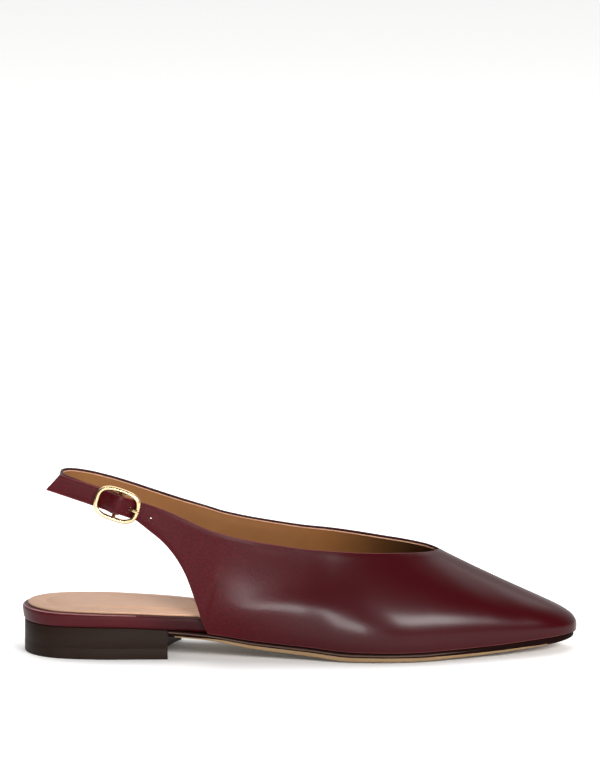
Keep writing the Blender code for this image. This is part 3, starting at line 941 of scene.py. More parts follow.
@dataclass(frozen=True)
class BurnishedLeather(ShadedLeather):
    """Leather with a flecked grain at the back, burnished to a gloss towards the toe."""

    gloss_span: tuple[float, float] = (-0.045, -0.010)
    grain_span: tuple[float, float] = (-0.025, 0.030)
    gloss_gain: float = 0.10
    front_coat: float = 0.16
    front_grain: float = 0.10
    mottle: float = 0.7
    cell_mean: float = 0.4

    def burnish(self, surface: Surface) -> None:
        """Adds the flecks and eases colour, gloss and grain along their spans.

        Args:
            surface: the leather's nodes.
        """
        tree, shader, grain, bump = surface
        strength = self.along(
            tree, self.grain_span, self.mottle, self.mottle * self.front_grain
        )
        cells = add_node(
            tree, "ShaderNodeMath", {0: grain, 1: self.cell_mean}, operation="SUBTRACT"
        ).outputs[0]
        flecks = add_node(
            tree, "ShaderNodeMath", {0: cells, 1: strength, 2: 1.0}, operation="MULTIPLY_ADD"
        ).outputs[0]
        shade = self.along(tree, self.shade_span, 1.0, self.front_shade)
        self.deepen(surface, self.combine(tree, "MULTIPLY", flecks, shade))
        gloss = self.along(tree, self.gloss_span, 0.0, -self.gloss_gain)
        rough = shader.inputs["Roughness"].links[0].from_socket
        tree.links.new(self.combine(tree, "ADD", rough, gloss), shader.inputs["Roughness"])
        coat = self.along(tree, self.gloss_span, 0.0, self.front_coat)
        tree.links.new(coat, shader.inputs["Coat Weight"])
        smoother = self.along(tree, self.grain_span, 1.0, self.front_grain)
        tree.links.new(smoother, bump.inputs["Strength"])


@dataclass(frozen=True)
class StackedLeather(Finish):
    """Lacquered stack of thin leather lifts, whose joints show as faint level lines."""

    tone: str = "#000000"
    lift_mm: float = 3.2
    line_depth_mm: float = 0.05
    fibre_mm: float = 0.6

    def dress(self, tree: bpy.types.NodeTree, shader: bpy.types.Node) -> None:
        """Wires the level lines and the fibres along them.

        Args:
            tree: the material's node tree.
            shader: its Principled BSDF.
        """
        place = add_node(tree, "ShaderNodeTexCoord").outputs["Object"]
        # The bands of a wave texture lie a twentieth of a full turn apart at scale 1.
        lifts = add_node(
            tree,
            "ShaderNodeTexWave",
            {
                "Vector": place,
                "Scale": math.tau / 20 / (self.lift_mm * MM),
                "Distortion": 0.6,
                "Detail": 2.0,
            },
            wave_type="BANDS",
            bands_direction="Z",
        )
        flat = add_node(
            tree, "ShaderNodeMapping", {"Vector": place, "Scale": (0.15, 0.15, 1.0)}
        )
        fibres = add_node(
            tree,
            "ShaderNodeTexNoise",
            {"Vector": flat.outputs[0], "Scale": 1 / (self.fibre_mm * MM), "Detail": 4.0},
        )
        colour = add_node(
            tree,
            "ShaderNodeMix",
            {
                MIX_SHARE: fibres.outputs[0],
                MIX_FIRST: hex_linear(self.colour),
                MIX_SECOND: hex_linear(self.tone),
            },
            data_type="RGBA",
        )
        tree.links.new(colour.outputs[MIX_RESULT], shader.inputs["Base Color"])
        height = add_node(
            tree,
            "ShaderNodeMath",
            {0: lifts.outputs[1], 1: fibres.outputs[0]},
            operation="ADD",
        )
        bump = add_node(
            tree,
            "ShaderNodeBump",
            {"Height": height.outputs[0], "Distance": self.line_depth_mm * MM, "Strength": 0.6},
        )
        tree.links.new(bump.outputs[0], shader.inputs["Normal"])


@dataclass(frozen=True)
class Plate(Finish):
    """Polished plating with faint polishing haze."""

    haze_mm: float = 2.5
    haze_spread: float = 0.015

    def dress(self, tree: bpy.types.NodeTree, shader: bpy.types.Node) -> None:
        """Wires the haze into the roughness.

        Args:
            tree: the material's node tree.
            shader: its Principled BSDF.
        """
        place = add_node(tree, "ShaderNodeTexCoord").outputs["Object"]
        haze = add_node(
            tree,
            "ShaderNodeTexNoise",
            {"Vector": place, "Scale": 1 / (self.haze_mm * MM), "Detail": 3.0},
        )
        spread = add_node(
            tree,
            "ShaderNodeMapRange",
            {
                "Value": haze.outputs[0],
                "From Min": 0.3,
                "From Max": 0.7,
                "To Min": self.roughness - self.haze_spread,
                "To Max": self.roughness + self.haze_spread,
            },
        )
        tree.links.new(spread.outputs[0], shader.inputs["Roughness"])


@dataclass(frozen=True)
class Finishes:
    """Every finish of the shoe."""

    # Aniline burgundy calf: deep red where it reflects the dark, mauve where it reflects the light.
    calf: BurnishedLeather = BurnishedLeather(
        "burgundy_calf", "#40070D", 0.40, specular=0.10,
        tone="#39070E", grain_mm=1.0, grain_depth_mm=0.04, pore_mm=0.5, polish_spread=0.012,
        stretch=(0.8, 0.8, 1.0), shade_span=(-0.05, 0.02), front_shade=0.72,
    )
    # The same calf wrapped round the footbed: duller, and deeper where the quarter shades it.
    rim: ShadedLeather = ShadedLeather(
        "wrapped_rim_calf", "#440B12", 0.42, specular=0.14,
        tone="#3C0A10", grain_mm=1.0, grain_depth_mm=0.03, pore_mm=0.5, polish_spread=0.012,
        shade_span=(-0.080, -0.056), front_shade=0.45,
    )
    # Upper turn of the wrapped rim, painted pale pink: a painted highlight, the line of light that
    # its rounded corner catches.
    rim_turn: Leather = Leather(
        "rim_turn_painted_highlight", "#B17C79", 0.45, specular=0.25,
        tone="#63292C", patch_mm=6.0, grain_mm=1.0, grain_depth_mm=0.02, pore_mm=0.5,
    )
    # Edge paint on the cut calf: maroon, rounded and dull; left lighter on the lateral side as a
    # painted highlight on the rolled edges, and deepened to about a third on the medial side as
    # painted shade.
    edge: ShadedLeather = ShadedLeather(
        "burgundy_edge_paint", "#66302F", 0.6, specular=0.15,
        tone="#572524", patch_mm=6.0, grain_mm=1.4, grain_depth_mm=0.02, pore_mm=0.5,
        axis="Y", shade_span=(-0.022, 0.004), front_shade=0.3,
    )
    # Vegetable tanned lining: matt tan with a short grain, deepened to about a third towards the
    # toe as painted shade inside the toe box.
    lining: ShadedLeather = ShadedLeather(
        "tan_lining_leather", "#875B32", 0.62, specular=0.2,
        tone="#7A4F2A", patch_mm=9.0, grain_mm=0.9, grain_depth_mm=0.03, pore_mm=0.3,
        shade_span=(0.01, 0.055), front_shade=0.35,
    )
    # Raw cut edge of the lining: pinkish fibres.
    raw_edge: Leather = Leather(
        "raw_lining_edge", "#C99C82", 0.75, specular=0.1,
        tone="#B5866B", patch_mm=2.0, grain_mm=0.5, grain_depth_mm=0.03, pore_mm=0.2,
    )
    # Nude sock leather: pale, dull, with slow streaks along the foot; painted about a tenth paler
    # towards the arch, a painted lightening that evens out the light falling stronger on the heel
    # end.
    sock: ShadedLeather = ShadedLeather(
        "nude_sock_leather", "#BA957C", 0.5, specular=0.25,
        tone="#B08A70", patch_mm=8.0, grain_mm=0.8, grain_depth_mm=0.02, pore_mm=0.3,
        stretch=(0.5, 1.0, 1.0), shade_span=(-0.120, -0.070), front_shade=1.12,
    )
    # Oak bark sole leather, buffed: warm tan, fibres along the sole.
    sole: Leather = Leather(
        "buffed_sole_leather", "#876E50", 0.55, specular=0.25,
        tone="#795F40", patch_mm=10.0, grain_mm=0.8, grain_depth_mm=0.02, pore_mm=0.3,
        stretch=(0.25, 1.0, 1.0),
    )
    # Inked and waxed sole edge: brown black, satin.
    sole_edge: Leather = Leather(
        "inked_sole_edge", "#190A08", 0.45, specular=0.02,
        tone="#130706", patch_mm=5.0, grain_mm=0.9, grain_depth_mm=0.015, pore_mm=0.3,
    )
    # Bead along the inked edge, painted a lighter brown: a painted highlight, the line of light
    # that the edge catches.
    edge_bead: Leather = Leather(
        "edge_bead_painted_highlight", "#57443A", 0.55, specular=0.1,
        tone="#3D2C25", patch_mm=4.0, grain_mm=0.9, grain_depth_mm=0.015, pore_mm=0.3,
    )
    # Lacquered dark stack: warm brown black with a soft gleam.
    stack: StackedLeather = StackedLeather(
        "dark_lacquered_stack", "#261B15", 0.5, specular=0.07, tone="#1F1510",
    )
    # Dense rubber top piece, patched and grained much as leather is: dark brown, dull.
    top_piece: Leather = Leather(
        "brown_top_piece_rubber", "#291E18", 0.5, specular=0.07,
        tone="#221813", patch_mm=8.0, grain_mm=0.7, grain_depth_mm=0.02, pore_mm=0.3,
    )
    # Pale gold plate: polished, near white where it catches a light.
    gold: Plate = Plate("pale_gold_plate", "#DDC394", 0.26, metallic=1.0)


# Upper


class Rib(NamedTuple):
    """One rib of the upper's outer face, from the topline down to the lower edge."""

    top: Array
    low: Array | float
    crown_top: float
    reach_top: float
    crown_low: float | None
    reach_low: float
    lean: float | None
    divisions: int


class TailRib(NamedTuple):
    """Rib of a quarter's cut edge or of the sling; the crowns are in degrees."""

    top_u: float
    top_y: float
    top_z: float
    low_u: float
    low_y: float
    low_z: float
    crown_top: float
    crown_low: float
    divisions: int

    def rib(self) -> Rib:
        """The rib that this row describes."""
        top = np.array([self.top_u, self.top_y, self.top_z])
        low = np.array([self.low_u, self.low_y, self.low_z])
        return Rib(top, low, self.crown_top, THIRD, self.crown_low, THIRD, None, self.divisions)


class VampRib(NamedTuple):
    """Rib that ends on the feather line; crown and lean are in degrees, reaches are shares."""

    top_u: float
    top_y: float
    top_z: float
    low_u: float
    crown_top: float
    reach_top: float
    lean: float
    reach_low: float
    divisions: int

    def rib(self, last: Last, side: Side) -> Rib:
        """The rib that this row describes, on one side of the last.

        Args:
            last: the last that it ends on.
            side: which side of the shoe.

        Returns:
            The rib.
        """
        top = np.array([self.top_u, self.top_y, self.top_z])
        share = last.feather_share(self.low_u, side)
        return Rib(top, share, self.crown_top, self.reach_top, None, self.reach_low, self.lean,
                   self.divisions)


class Crease(NamedTuple):
    """Soft trough (or ridge, with a negative depth) in the leather, round a centre line."""

    u: float
    y: float
    z: float
    along: tuple[float, float, float]
    length: float
    width: float
    depth: float


@dataclass
class Strap:
    """The strap at the buckle, in its own axes: a along it, p up its width, n outward."""

    u: float = 45.6
    y: float = -27.2
    z: float = 75.4
    tilt: float = math.radians(17.8)
    yaw: float = math.radians(5.7)
    half_width: float = 4.7
    wall: float = 1.6
    gap: float = 0.3
    frame_half_length: float = 10.0
    frame_half_height: float = 7.1
    frame_squareness: float = 3.0
    frame_lift: float = 1.0
    wire_radius: float = 1.1
    bar_radius: float = 0.9
    prong_radius: float = 0.65
    slot_width: float = 2.2
    prong_hole_radius: float = 1.1
    tip_a: float = -32.4
    tip_cut: float = 2.0
    tip_divisions: int = 3
    flat_a: tuple[float, ...] = (-20.0, -15.0)
    sling_under_a: tuple[float, ...] = (-17.0, -13.0, -10.5, -8.0, -5.5, -3.5, -1.6)
    sling_end_a: float = -9.0
    billet_steps: int = 12
    slope_step: float = 0.01
    loop_degrees: int = 30
    pillow_lift: float = 0.9
    pillow_crown: float = 16.0
    prong_path: tuple[tuple[float, float], ...] = ((1.9, 0.0), (6.0, 0.1), (8.3, 2.6), (11.2, 3.1))

    @property
    def loop_radius(self) -> float:
        """Radius of the sling's outer face round the centre bar."""
        return self.bar_radius + self.gap + self.wall

    @property
    def billet_low(self) -> float:
        """Height of the billet's outer face where it passes under the frame."""
        return self.frame_lift - self.wire_radius - self.gap

    def axes(self) -> tuple[Array, Array, Array]:
        """Unit vectors along the strap, up its width and outward.

        Returns:
            The three vectors.
        """
        flat = np.array([math.cos(self.yaw), -math.sin(self.yaw)])
        along = np.array([*(flat * math.cos(self.tilt)), -math.sin(self.tilt)])
        up = np.array([*(flat * math.sin(self.tilt)), math.cos(self.tilt)])
        return along, up, np.cross(along, up)

    def point(self, a: float, p: float, n: float) -> Array:
        """Shoe stations of a point in the strap's own axes."""
        along, up, out = self.axes()
        return np.array([self.u, self.y, self.z]) + a * along + p * up + n * out

    def swing(self, a: float) -> float:
        """Share of the billet's swell, from 0 under the frame's ends to 1 over the centre bar."""
        return math.cos(math.pi / 2 * min(max(a / self.frame_half_length, -1), 1)) ** 2

    def rise(self, a: float) -> float:
        """How far the billet's outer face stands out as it crosses the buckle."""
        high = self.loop_radius + self.gap + self.wall
        return self.billet_low + (high - self.billet_low) * self.swing(a)

    def rib(self, a: float, n: float, lift: float = 0.0, crown: float = 0.0) -> Rib:
        """Rib across the strap, lifted up its width and crowned outward if asked.

        Args:
            a: place along the strap.
            n: how far its outer face stands out.
            lift: shift up the strap's width.
            crown: swell in degrees.

        Returns:
            The rib.
        """
        top = self.point(a, lift + self.half_width, n)
        low = self.point(a, lift - self.half_width, n)
        return Rib(top, low, crown, THIRD, crown, THIRD, None, 1)

    def billet_ribs(self) -> list[Rib]:
        """Free end of the strap, from its slanted cut to where the quarter begins.

        Returns:
            Its ribs, tip first.
        """
        top = self.point(self.tip_a + self.tip_cut, self.half_width, self.billet_low)
        low = self.point(self.tip_a - self.tip_cut, -self.half_width, self.billet_low)
        ribs = [Rib(top, low, 0, THIRD, 0, THIRD, None, self.tip_divisions)]
        ribs += [self.rib(a, self.billet_low) for a in self.flat_a]
        reach = self.frame_half_length
        for a in np.linspace(-reach, reach, self.billet_steps + 1):
            swing = self.swing(a)
            lift, crown = self.pillow_lift * swing, self.pillow_crown * swing
            ribs.append(self.rib(a, self.rise(a), lift, crown))
        return ribs

    def loop_ribs(self) -> list[Rib]:
        """End of the sling: under the billet, round the centre bar and back along itself.

        Returns:
            Its ribs, in the order that the strap runs.
        """
        under = self.wall + self.gap
        step = self.slope_step
        ribs = []
        for a in self.sling_under_a:
            tilt = math.atan((self.rise(a + step) - self.rise(a - step)) / (2 * step))
            n = self.rise(a) - under * math.cos(tilt)
            ribs.append(self.rib(a + under * math.sin(tilt), n))
        for degrees in range(90, -91, -self.loop_degrees):
            turn, radius = math.radians(degrees), self.loop_radius
            ribs.append(self.rib(radius * math.cos(turn), radius * math.sin(turn)))
        doubled = self.billet_low - under - 2 * self.wall - self.gap
        ribs.append(self.rib(self.sling_end_a / 2, (doubled - self.loop_radius) / 2 - self.gap))
        ribs.append(self.rib(self.sling_end_a, doubled))
        return ribs


@dataclass
class Upper:
    """The upper: burgundy calf outside, tan lining inside, one wall from billet to sling."""

    last: Last
    strap: Strap
    sweep: WireSweep
    finishes: Finishes
    wall: float = 1.6
    calf: float = 0.9
    layer_gap: float = 0.02
    lining_drop_top: float = 0.85
    lining_drop_low: float = 0.1
    edge_steps: int = 7
    sharp_degrees: float = 60.0
    fineness: int = 5
    face_columns: int = 34
    curve_points: int = 121
    edge_columns: tuple[float, ...] = (0.0, 0.3, 0.7, 1.2, 1.8, 2.5, 3.3, 4.2, 5.2)
    edge_full_length: float = 24.0
    paint_reach: float = 0.6
    strap_to_wall: tuple[float, float] = (14.0, 30.0)
    roll_height: float = 0.22
    roll_place: float = 2.4
    roll_width: float = 1.7
    roll_fade: float = 0.75
    roll_fade_u: tuple[float, float] = (118.0, 150.0)
    strap_fall: float = 0.45
    strap_fall_width: float = 1.3
    pinhole: tuple[float, float, float] = (61.5, -28.1, 68.8)
    pinhole_radius: float = 0.45
    pinhole_reach: float = 6.0
    creases: tuple[Crease, ...] = (
        Crease(120, -32.3, 26.3, (1.0, -0.1, 0.14), 29, 7.5, -0.52),
        Crease(104, -31, 22, (1.0, 0, -0.10), 14, 7, -0.55),
        Crease(144, -35, 27.5, (1.0, 0, 0.0), 12, 7, -0.30),
        Crease(196, -33, 20, (0.9, 0.4, -0.1), 26, 8, -0.20),
        Crease(168, 36, 26, (0.4, 0, -0.9), 22, 10, 0.25),
        Crease(128, 28, 34, (0.5, 0, -0.85), 24, 10, 0.25),
    )
    lateral_quarter: tuple[TailRib, ...] = (
        TailRib(64.0, -28.0, 74.4, 60.0, -28.4, 63.1, 3, 3, 2),
        TailRib(71.6, -28.0, 71.4, 67.3, -28.8, 57.0, 4, 4, 2),
        TailRib(78.2, -27.7, 68.3, 73.0, -29.0, 50.0, 5, 5, 2),
        TailRib(84.8, -27.2, 65.0, 77.8, -28.9, 41.4, 6, 6, 2),
        TailRib(91.0, -26.6, 62.4, 82.0, -28.6, 30.0, 7, 7, 2),
        TailRib(97.0, -26.0, 60.5, 85.2, -27.8, 20.2, 8.5, 9.5, 2),
    )
    medial_quarter: tuple[TailRib, ...] = (
        TailRib(95.5, 26.4, 62.2, 85.2, 23.1, 20.2, 5, 5, 2),
        TailRib(89.5, 26.4, 64.1, 82.0, 24.4, 30.0, 4, 4, 2),
        TailRib(83.0, 26.5, 66.1, 77.8, 25.5, 41.4, 4, 4, 2),
        TailRib(76.4, 26.6, 68.2, 73.0, 26.2, 50.0, 3, 3, 2),
        TailRib(69.6, 26.8, 70.4, 67.0, 26.7, 57.0, 3, 3, 2),
        TailRib(61.4, 26.9, 73.1, 59.4, 26.9, 62.4, 2, 2, 2),
    )
    sling: tuple[TailRib, ...] = (
        TailRib(52.0, 26.5, 76.3, 49.6, 26.5, 66.5, 0, 0, 3),
        TailRib(41.0, 24.6, 80.0, 39.2, 24.6, 70.2, 0, 0, 3),
        TailRib(30.5, 20.6, 83.2, 29.4, 20.6, 73.5, 0, 0, 3),
        TailRib(22.0, 13.2, 85.6, 21.4, 13.2, 75.9, 0, 0, 3),
        TailRib(17.9, 2.0, 86.8, 17.5, 2.0, 77.1, 0, 0, 3),
        TailRib(19.8, -10.4, 86.9, 19.2, -10.4, 77.2, 0, 0, 3),
        TailRib(24.8, -18.6, 86.5, 23.4, -18.6, 76.9, 0, 0, 3),
    )
    lateral_vamp: tuple[VampRib, ...] = (
        VampRib(103.0, -25.6, 58.8, 88.3, 10, 0.50, 12, 0.30, 2),
        VampRib(111.5, -25.3, 57.0, 100.0, 11, 0.58, 16, 0.27, 3),
        VampRib(122.0, -25.2, 55.3, 114.0, 10.5, 0.64, 18, 0.25, 3),
        VampRib(134.0, -25.1, 53.6, 131.0, 9, 0.62, 17, 0.23, 3),
        VampRib(147.0, -24.6, 52.4, 149.0, 9, 0.54, 14, 0.25, 3),
        VampRib(160.0, -22.9, 51.3, 169.0, 11, 0.47, 13, 0.27, 3),
        VampRib(172.0, -20.3, 50.6, 191.0, 12, 0.43, 13, 0.28, 3),
        VampRib(181.0, -17.2, 50.1, 210.0, 12, 0.43, 12.5, 0.28, 3),
        VampRib(187.6, -13.6, 49.6, 227.0, 9.5, 0.50, 12, 0.25, 3),
        VampRib(192.6, -8.8, 49.1, 242.0, 6.2, 0.62, 12, 0.20, 3),
        VampRib(196.2, -3.4, 48.7, 254.0, 4.8, 0.74, 12, 0.17, 4),
    )
    throat: VampRib = VampRib(198.0, 2.4, 48.4, 264.0, 4.0, 0.86, 11, 0.15, 4)
    medial_vamp: tuple[VampRib, ...] = (
        VampRib(196.6, 8.0, 48.3, 254.0, 4.0, 0.74, 12, 0.17, 3),
        VampRib(193.0, 13.0, 48.7, 242.0, 5.0, 0.62, 12, 0.20, 3),
        VampRib(187.6, 16.8, 49.3, 227.0, 8.2, 0.50, 12, 0.25, 3),
        VampRib(180.6, 19.8, 50.1, 210.0, 12, 0.42, 12, 0.29, 3),
        VampRib(171.0, 22.2, 51.2, 191.0, 13, 0.38, 12, 0.31, 3),
        VampRib(159.0, 24.2, 52.8, 169.0, 14, 0.35, 11, 0.33, 3),
        VampRib(146.5, 25.4, 54.3, 149.0, 13, 0.34, 10, 0.34, 3),
        VampRib(133.5, 26.0, 55.5, 131.0, 11, 0.34, 10, 0.34, 3),
        VampRib(121.0, 26.3, 57.3, 114.0, 9, 0.34, 10, 0.34, 3),
        VampRib(109.5, 26.4, 59.2, 100.0, 7, 0.34, 10, 0.34, 3),
        VampRib(102.0, 26.4, 60.7, 88.3, 6, 0.34, 10, 0.34, 2),
    )
    handles: Array = field(init=False)

    def __post_init__(self) -> None:
        """Works out the Bezier handles of every fine rib."""
        self.handles = self.draw_ribs()

    def rows(self) -> tuple[list[Rib], slice]:
        """All ribs in order from the billet's tip to the sling's end, and which are the vamp's.

        Returns:
            The ribs and the vamp's part of the list.
        """
        rows = self.strap.billet_ribs()
        rows += [row.rib() for row in self.lateral_quarter]
        first = len(rows)
        rows += [row.rib(self.last, Side.LATERAL) for row in (*self.lateral_vamp, self.throat)]
        rows += [row.rib(self.last, Side.MEDIAL) for row in self.medial_vamp]
        vamp = slice(first, len(rows))
        rows += [row.rib() for row in (*self.medial_quarter, *self.sling)]
        return rows + self.strap.loop_ribs(), vamp

    def directions(self, rows: list[Rib], tops: Array, lows: Array) -> tuple[Array, Array]:
        """Directions in which each rib leaves its top and its lower end.

        Args:
            rows: the ribs.
            tops: their upper ends.
            lows: their lower ends.

        Returns:
            Two lists of vectors.
        """
        chord = unit(lows - tops)
        run = unit(np.gradient(tops, axis=0)) + unit(np.gradient(lows, axis=0))
        out = unit(np.cross(chord, run))
        swing = np.radians([row.crown_top for row in rows])[:, None]
        leave_top = chord * np.cos(swing) + out * np.sin(swing)
        leave_low = np.zeros_like(chord)
        for k, row in enumerate(rows):
            if row.lean is None:
                turn = math.radians(row.crown_low)
                leave_low[k] = -chord[k] * math.cos(turn) + out[k] * math.sin(turn)
            else:
                lean = math.radians(row.lean)
                outward = self.last.feather_point(row.low)[1]
                leave_low[k] = outward * math.sin(lean) + np.array([0, 0, math.cos(lean)])
        return leave_top, leave_low

    def draw_ribs(self) -> Array:
        """Bezier handles of the fine ribs, as ribs by four handles.

        Returns:
            Top, its handle, the low end's handle and the low end of each rib.
        """
        rows, vamp = self.rows()
        tops = np.array([row.top for row in rows])
        lows = np.array([
            row.low if row.lean is None else self.last.feather_point(row.low)[0] for row in rows
        ])
        leave_top, leave_low = self.directions(rows, tops, lows)
        knots = chord_knots((tops + lows) / 2)
        at = np.concatenate([
            np.linspace(low, high, row.divisions * self.fineness, endpoint=False)
            for row, low, high in zip(rows, knots, knots[1:])
        ] + [knots[-1:]])
        first, final = knots[vamp][0], knots[vamp][-1]
        before, after = at < first, at > final
        on_vamp = ~before & ~after
        low = np.zeros((len(at), 3))
        low[before] = smooth(knots[: vamp.start + 1], lows[: vamp.start + 1], at[before])
        low[after] = smooth(knots[vamp.stop - 1 :], lows[vamp.stop - 1 :], at[after])
        shares = smooth(knots[vamp], [row.low for row in rows[vamp]], at[on_vamp])[:, 0]
        low[on_vamp] = [self.last.feather_point(share)[0] for share in shares]
        top = smooth(knots, tops, at)
        length = np.linalg.norm(low - top, axis=1)[:, None]
        reach_top = smooth(knots, [row.reach_top for row in rows], at) * length
        reach_low = smooth(knots, [row.reach_low for row in rows], at) * length
        handle_top = top + unit(smooth(knots, leave_top, at)) * reach_top
        handle_low = low + unit(smooth(knots, leave_low, at)) * reach_low
        return np.stack([top, handle_top, handle_low, low], axis=1)

    def face(self, start: float, finish: float) -> tuple[Array, Array, Array]:
        """The outer face between two cuts, with its creases and the roll along the topline.

        Args:
            start: distance of the first column from the topline.
            finish: distance of the last column from the lower edge.

        Returns:
            Points and outward normals, as ribs by columns, and each column's distance from the
            topline.
        """
        near = np.array(self.edge_columns)
        t = np.linspace(0, 1, self.curve_points)[:, None]
        weights = np.hstack([(1 - t) ** 3, 3 * t * (1 - t) ** 2, 3 * t**2 * (1 - t), t**3])
        points, depths = [], []
        for handles in self.handles:
            dense = weights @ handles
            steps = np.linalg.norm(np.diff(dense, axis=0), axis=1)
            arc = np.concatenate([[0.0], np.cumsum(steps)])
            open_length = arc[-1] - start - finish
            edge = near * min(1.0, open_length / self.edge_full_length)
            middle = np.linspace(edge[-1], open_length - edge[-1], self.face_columns)[1:-1]
            s = start + np.concatenate([edge, middle, (open_length - edge)[::-1]])
            points.append(np.column_stack([np.interp(s, arc, dense[:, k]) for k in range(3)]))
            depths.append(s)
        grid, depth = np.array(points), np.array(depths)
        normals = self.grid_normals(grid)
        grid = grid + normals * self.relief(grid, depth)[..., None]
        return grid, self.grid_normals(grid), depth

    @staticmethod
    def grid_normals(grid: Array) -> Array:
        """Outward normals of a grid of ribs by columns."""
        return unit(np.cross(np.gradient(grid, axis=1), np.gradient(grid, axis=0)))

    def relief(self, grid: Array, depth: Array) -> Array:
        """How far the leather stands out from the last: the topline's roll and the creases.

        Args:
            grid: points of the outer face, as ribs by columns.
            depth: each column's distance from the topline.

        Returns:
            The rise at each point.
        """
        length = np.linalg.norm(self.handles[:, 3] - self.handles[:, 0], axis=1)[:, None]
        on_wall = ease(*self.strap_to_wall, length)
        rise = self.roll_height * np.exp(-(((depth - self.roll_place) / self.roll_width) ** 2))
        rise = rise * on_wall * (1 - self.roll_fade * ease(*self.roll_fade_u, grid[..., 0]))
        from_low = depth.max(axis=1, keepdims=True) - depth
        nearest = np.minimum(depth, from_low)
        fall = self.strap_fall * np.exp(-((nearest / self.strap_fall_width) ** 2))
        rise = rise - fall * (1 - on_wall)
        for crease in self.creases:
            away = grid - np.array([crease.u, crease.y, crease.z])
            along = unit(np.array(crease.along, float))
            run = away @ along
            off = np.linalg.norm(away - run[..., None] * along, axis=-1)
            shape = np.exp(-((run / crease.length) ** 2) - (off / crease.width) ** 2)
            rise = rise - crease.depth * shape * on_wall
        return rise

    def layer(
        self,
        name: str,
        outer: float,
        inner: float,
        drops: tuple[float, float],
        skin: bpy.types.Material,
        rim: bpy.types.Material,
        rim_reach: float,
    ) -> bpy.types.Mesh:
        """One closed layer of the wall, with rounded edges.

        Args:
            name: name of the mesh.
            outer: depth of its outer face under the upper's outer face.
            inner: depth of its inner face.
            drops: how far its edges stop short of the topline and of the lower edge.
            skin: material of its two faces.
            rim: material of its edges.
            rim_reach: how far the edge's material runs down its inner face.

        Returns:
            The mesh.
        """
        half = (inner - outer) / 2
        grid, normals, depth = self.face(drops[0] + half, drops[1] + half)
        turns = np.linspace(0, math.pi, self.edge_steps + 2)[1:-1]
        down_top = unit(grid[:, 1] - grid[:, 0])
        down_low = unit(grid[:, -1] - grid[:, -2])

        def round_edge(column: int, away: Array, angles: Array) -> Array:
            """Points of a rounded edge beyond one end column.

            Args:
                column: the face's end column.
                away: direction out of the face, rib by rib.
                angles: turns from the outer face, in radians.

            Returns:
                The points, as ribs by angles.
            """
            sink = outer + half * (1 - np.cos(angles))[None, :, None]
            reach = half * np.sin(angles)[None, :, None]
            base = grid[:, column, None, :]
            return base - normals[:, column, None, :] * sink + away[:, None, :] * reach

        outside = grid - normals * outer
        inside = (grid - normals * inner)[:, ::-1]
        section = np.concatenate([
            outside,
            round_edge(-1, down_low, turns),
            inside,
            round_edge(0, -down_top, turns[::-1]),
        ], axis=1)
        ribs, columns = section.shape[:2]
        faces = quads(ribs, columns, wrap=True)
        count = grid.shape[1]
        on_edge = np.zeros((ribs - 1, columns), dtype=np.int32)
        on_edge[:, count - 1 : count + self.edge_steps] = 1
        on_edge[:, 2 * count + self.edge_steps - 1 :] = 1
        inner_depth = depth[:-1, ::-1] - drops[0]
        inner_face = slice(count + self.edge_steps, 2 * count + self.edge_steps)
        on_edge[:, inner_face][inner_depth < rim_reach] = 1
        start_cap = list(range(columns))[::-1]
        end_cap = [(ribs - 1) * columns + k for k in range(columns)]
        corners = [*faces.tolist(), start_cap, end_cap]
        worn = np.concatenate([on_edge.ravel(), [1, 1]])
        places = self.last.metres(section)
        return make_mesh(
            name, places, corners, [skin, rim], worn, sharp_degrees=self.sharp_degrees
        )

    def tools(self) -> list[bpy.types.Mesh]:
        """Cutters for the prong's slot in the sling's loop, its hole and the spare hole.

        Returns:
            Three closed meshes.
        """
        strap = self.strap
        finish = self.finishes.edge.material()
        half = strap.slot_width / 2
        slot = self.last.metres(np.array([strap.point(0, side * half, 0) for side in (-1, 1)]))
        hole = self.last.metres(np.array([strap.point(a, 0, n) for a, n in strap.prong_path[:3]]))
        u, y, z = self.pinhole
        ends = (y - self.pinhole_reach, y + self.pinhole_reach)
        pin = self.last.metres(np.array([(u, end, z) for end in ends]))
        return [
            self.sweep.wire("slot", slot, strap.loop_radius + strap.gap / 2, finish),
            self.sweep.wire("hole", hole, strap.prong_hole_radius, finish),
            self.sweep.wire("pin", pin, self.pinhole_radius, finish),
        ]

    def build(self) -> list[bpy.types.Object]:
        """Builds and dresses both layers.

        Returns:
            The calf and the lining.
        """
        looks = self.finishes
        calf = self.layer(
            "upper_calf", 0.0, self.calf, (0.0, 0.0),
            looks.calf.material(), looks.edge.material(), self.lining_drop_top + self.paint_reach,
        )
        lining = self.layer(
            "upper_lining", self.calf + self.layer_gap, self.wall,
            (self.lining_drop_top, self.lining_drop_low),
            looks.lining.material(), looks.raw_edge.material(), 0.0,
        )
        pieces = []
        for mesh, slot in ((calf, "upper_leather"), (lining, "sock_leather")):
            cut = carve(mesh, self.tools(), "DIFFERENCE")
            pieces.append(settle(show(cut.name, cut), "upper", slot))
        return pieces


# Sole, heel and footbed


class InkRow(NamedTuple):
    """Share of the sole edge's height, from the bottom, where the ink begins at a station."""

    u: float
    share: float


class TurnRow(NamedTuple):
    """Point of the sole's rounded upper edge: how far it is drawn in, and its lift."""

    inset: float
    lift: float


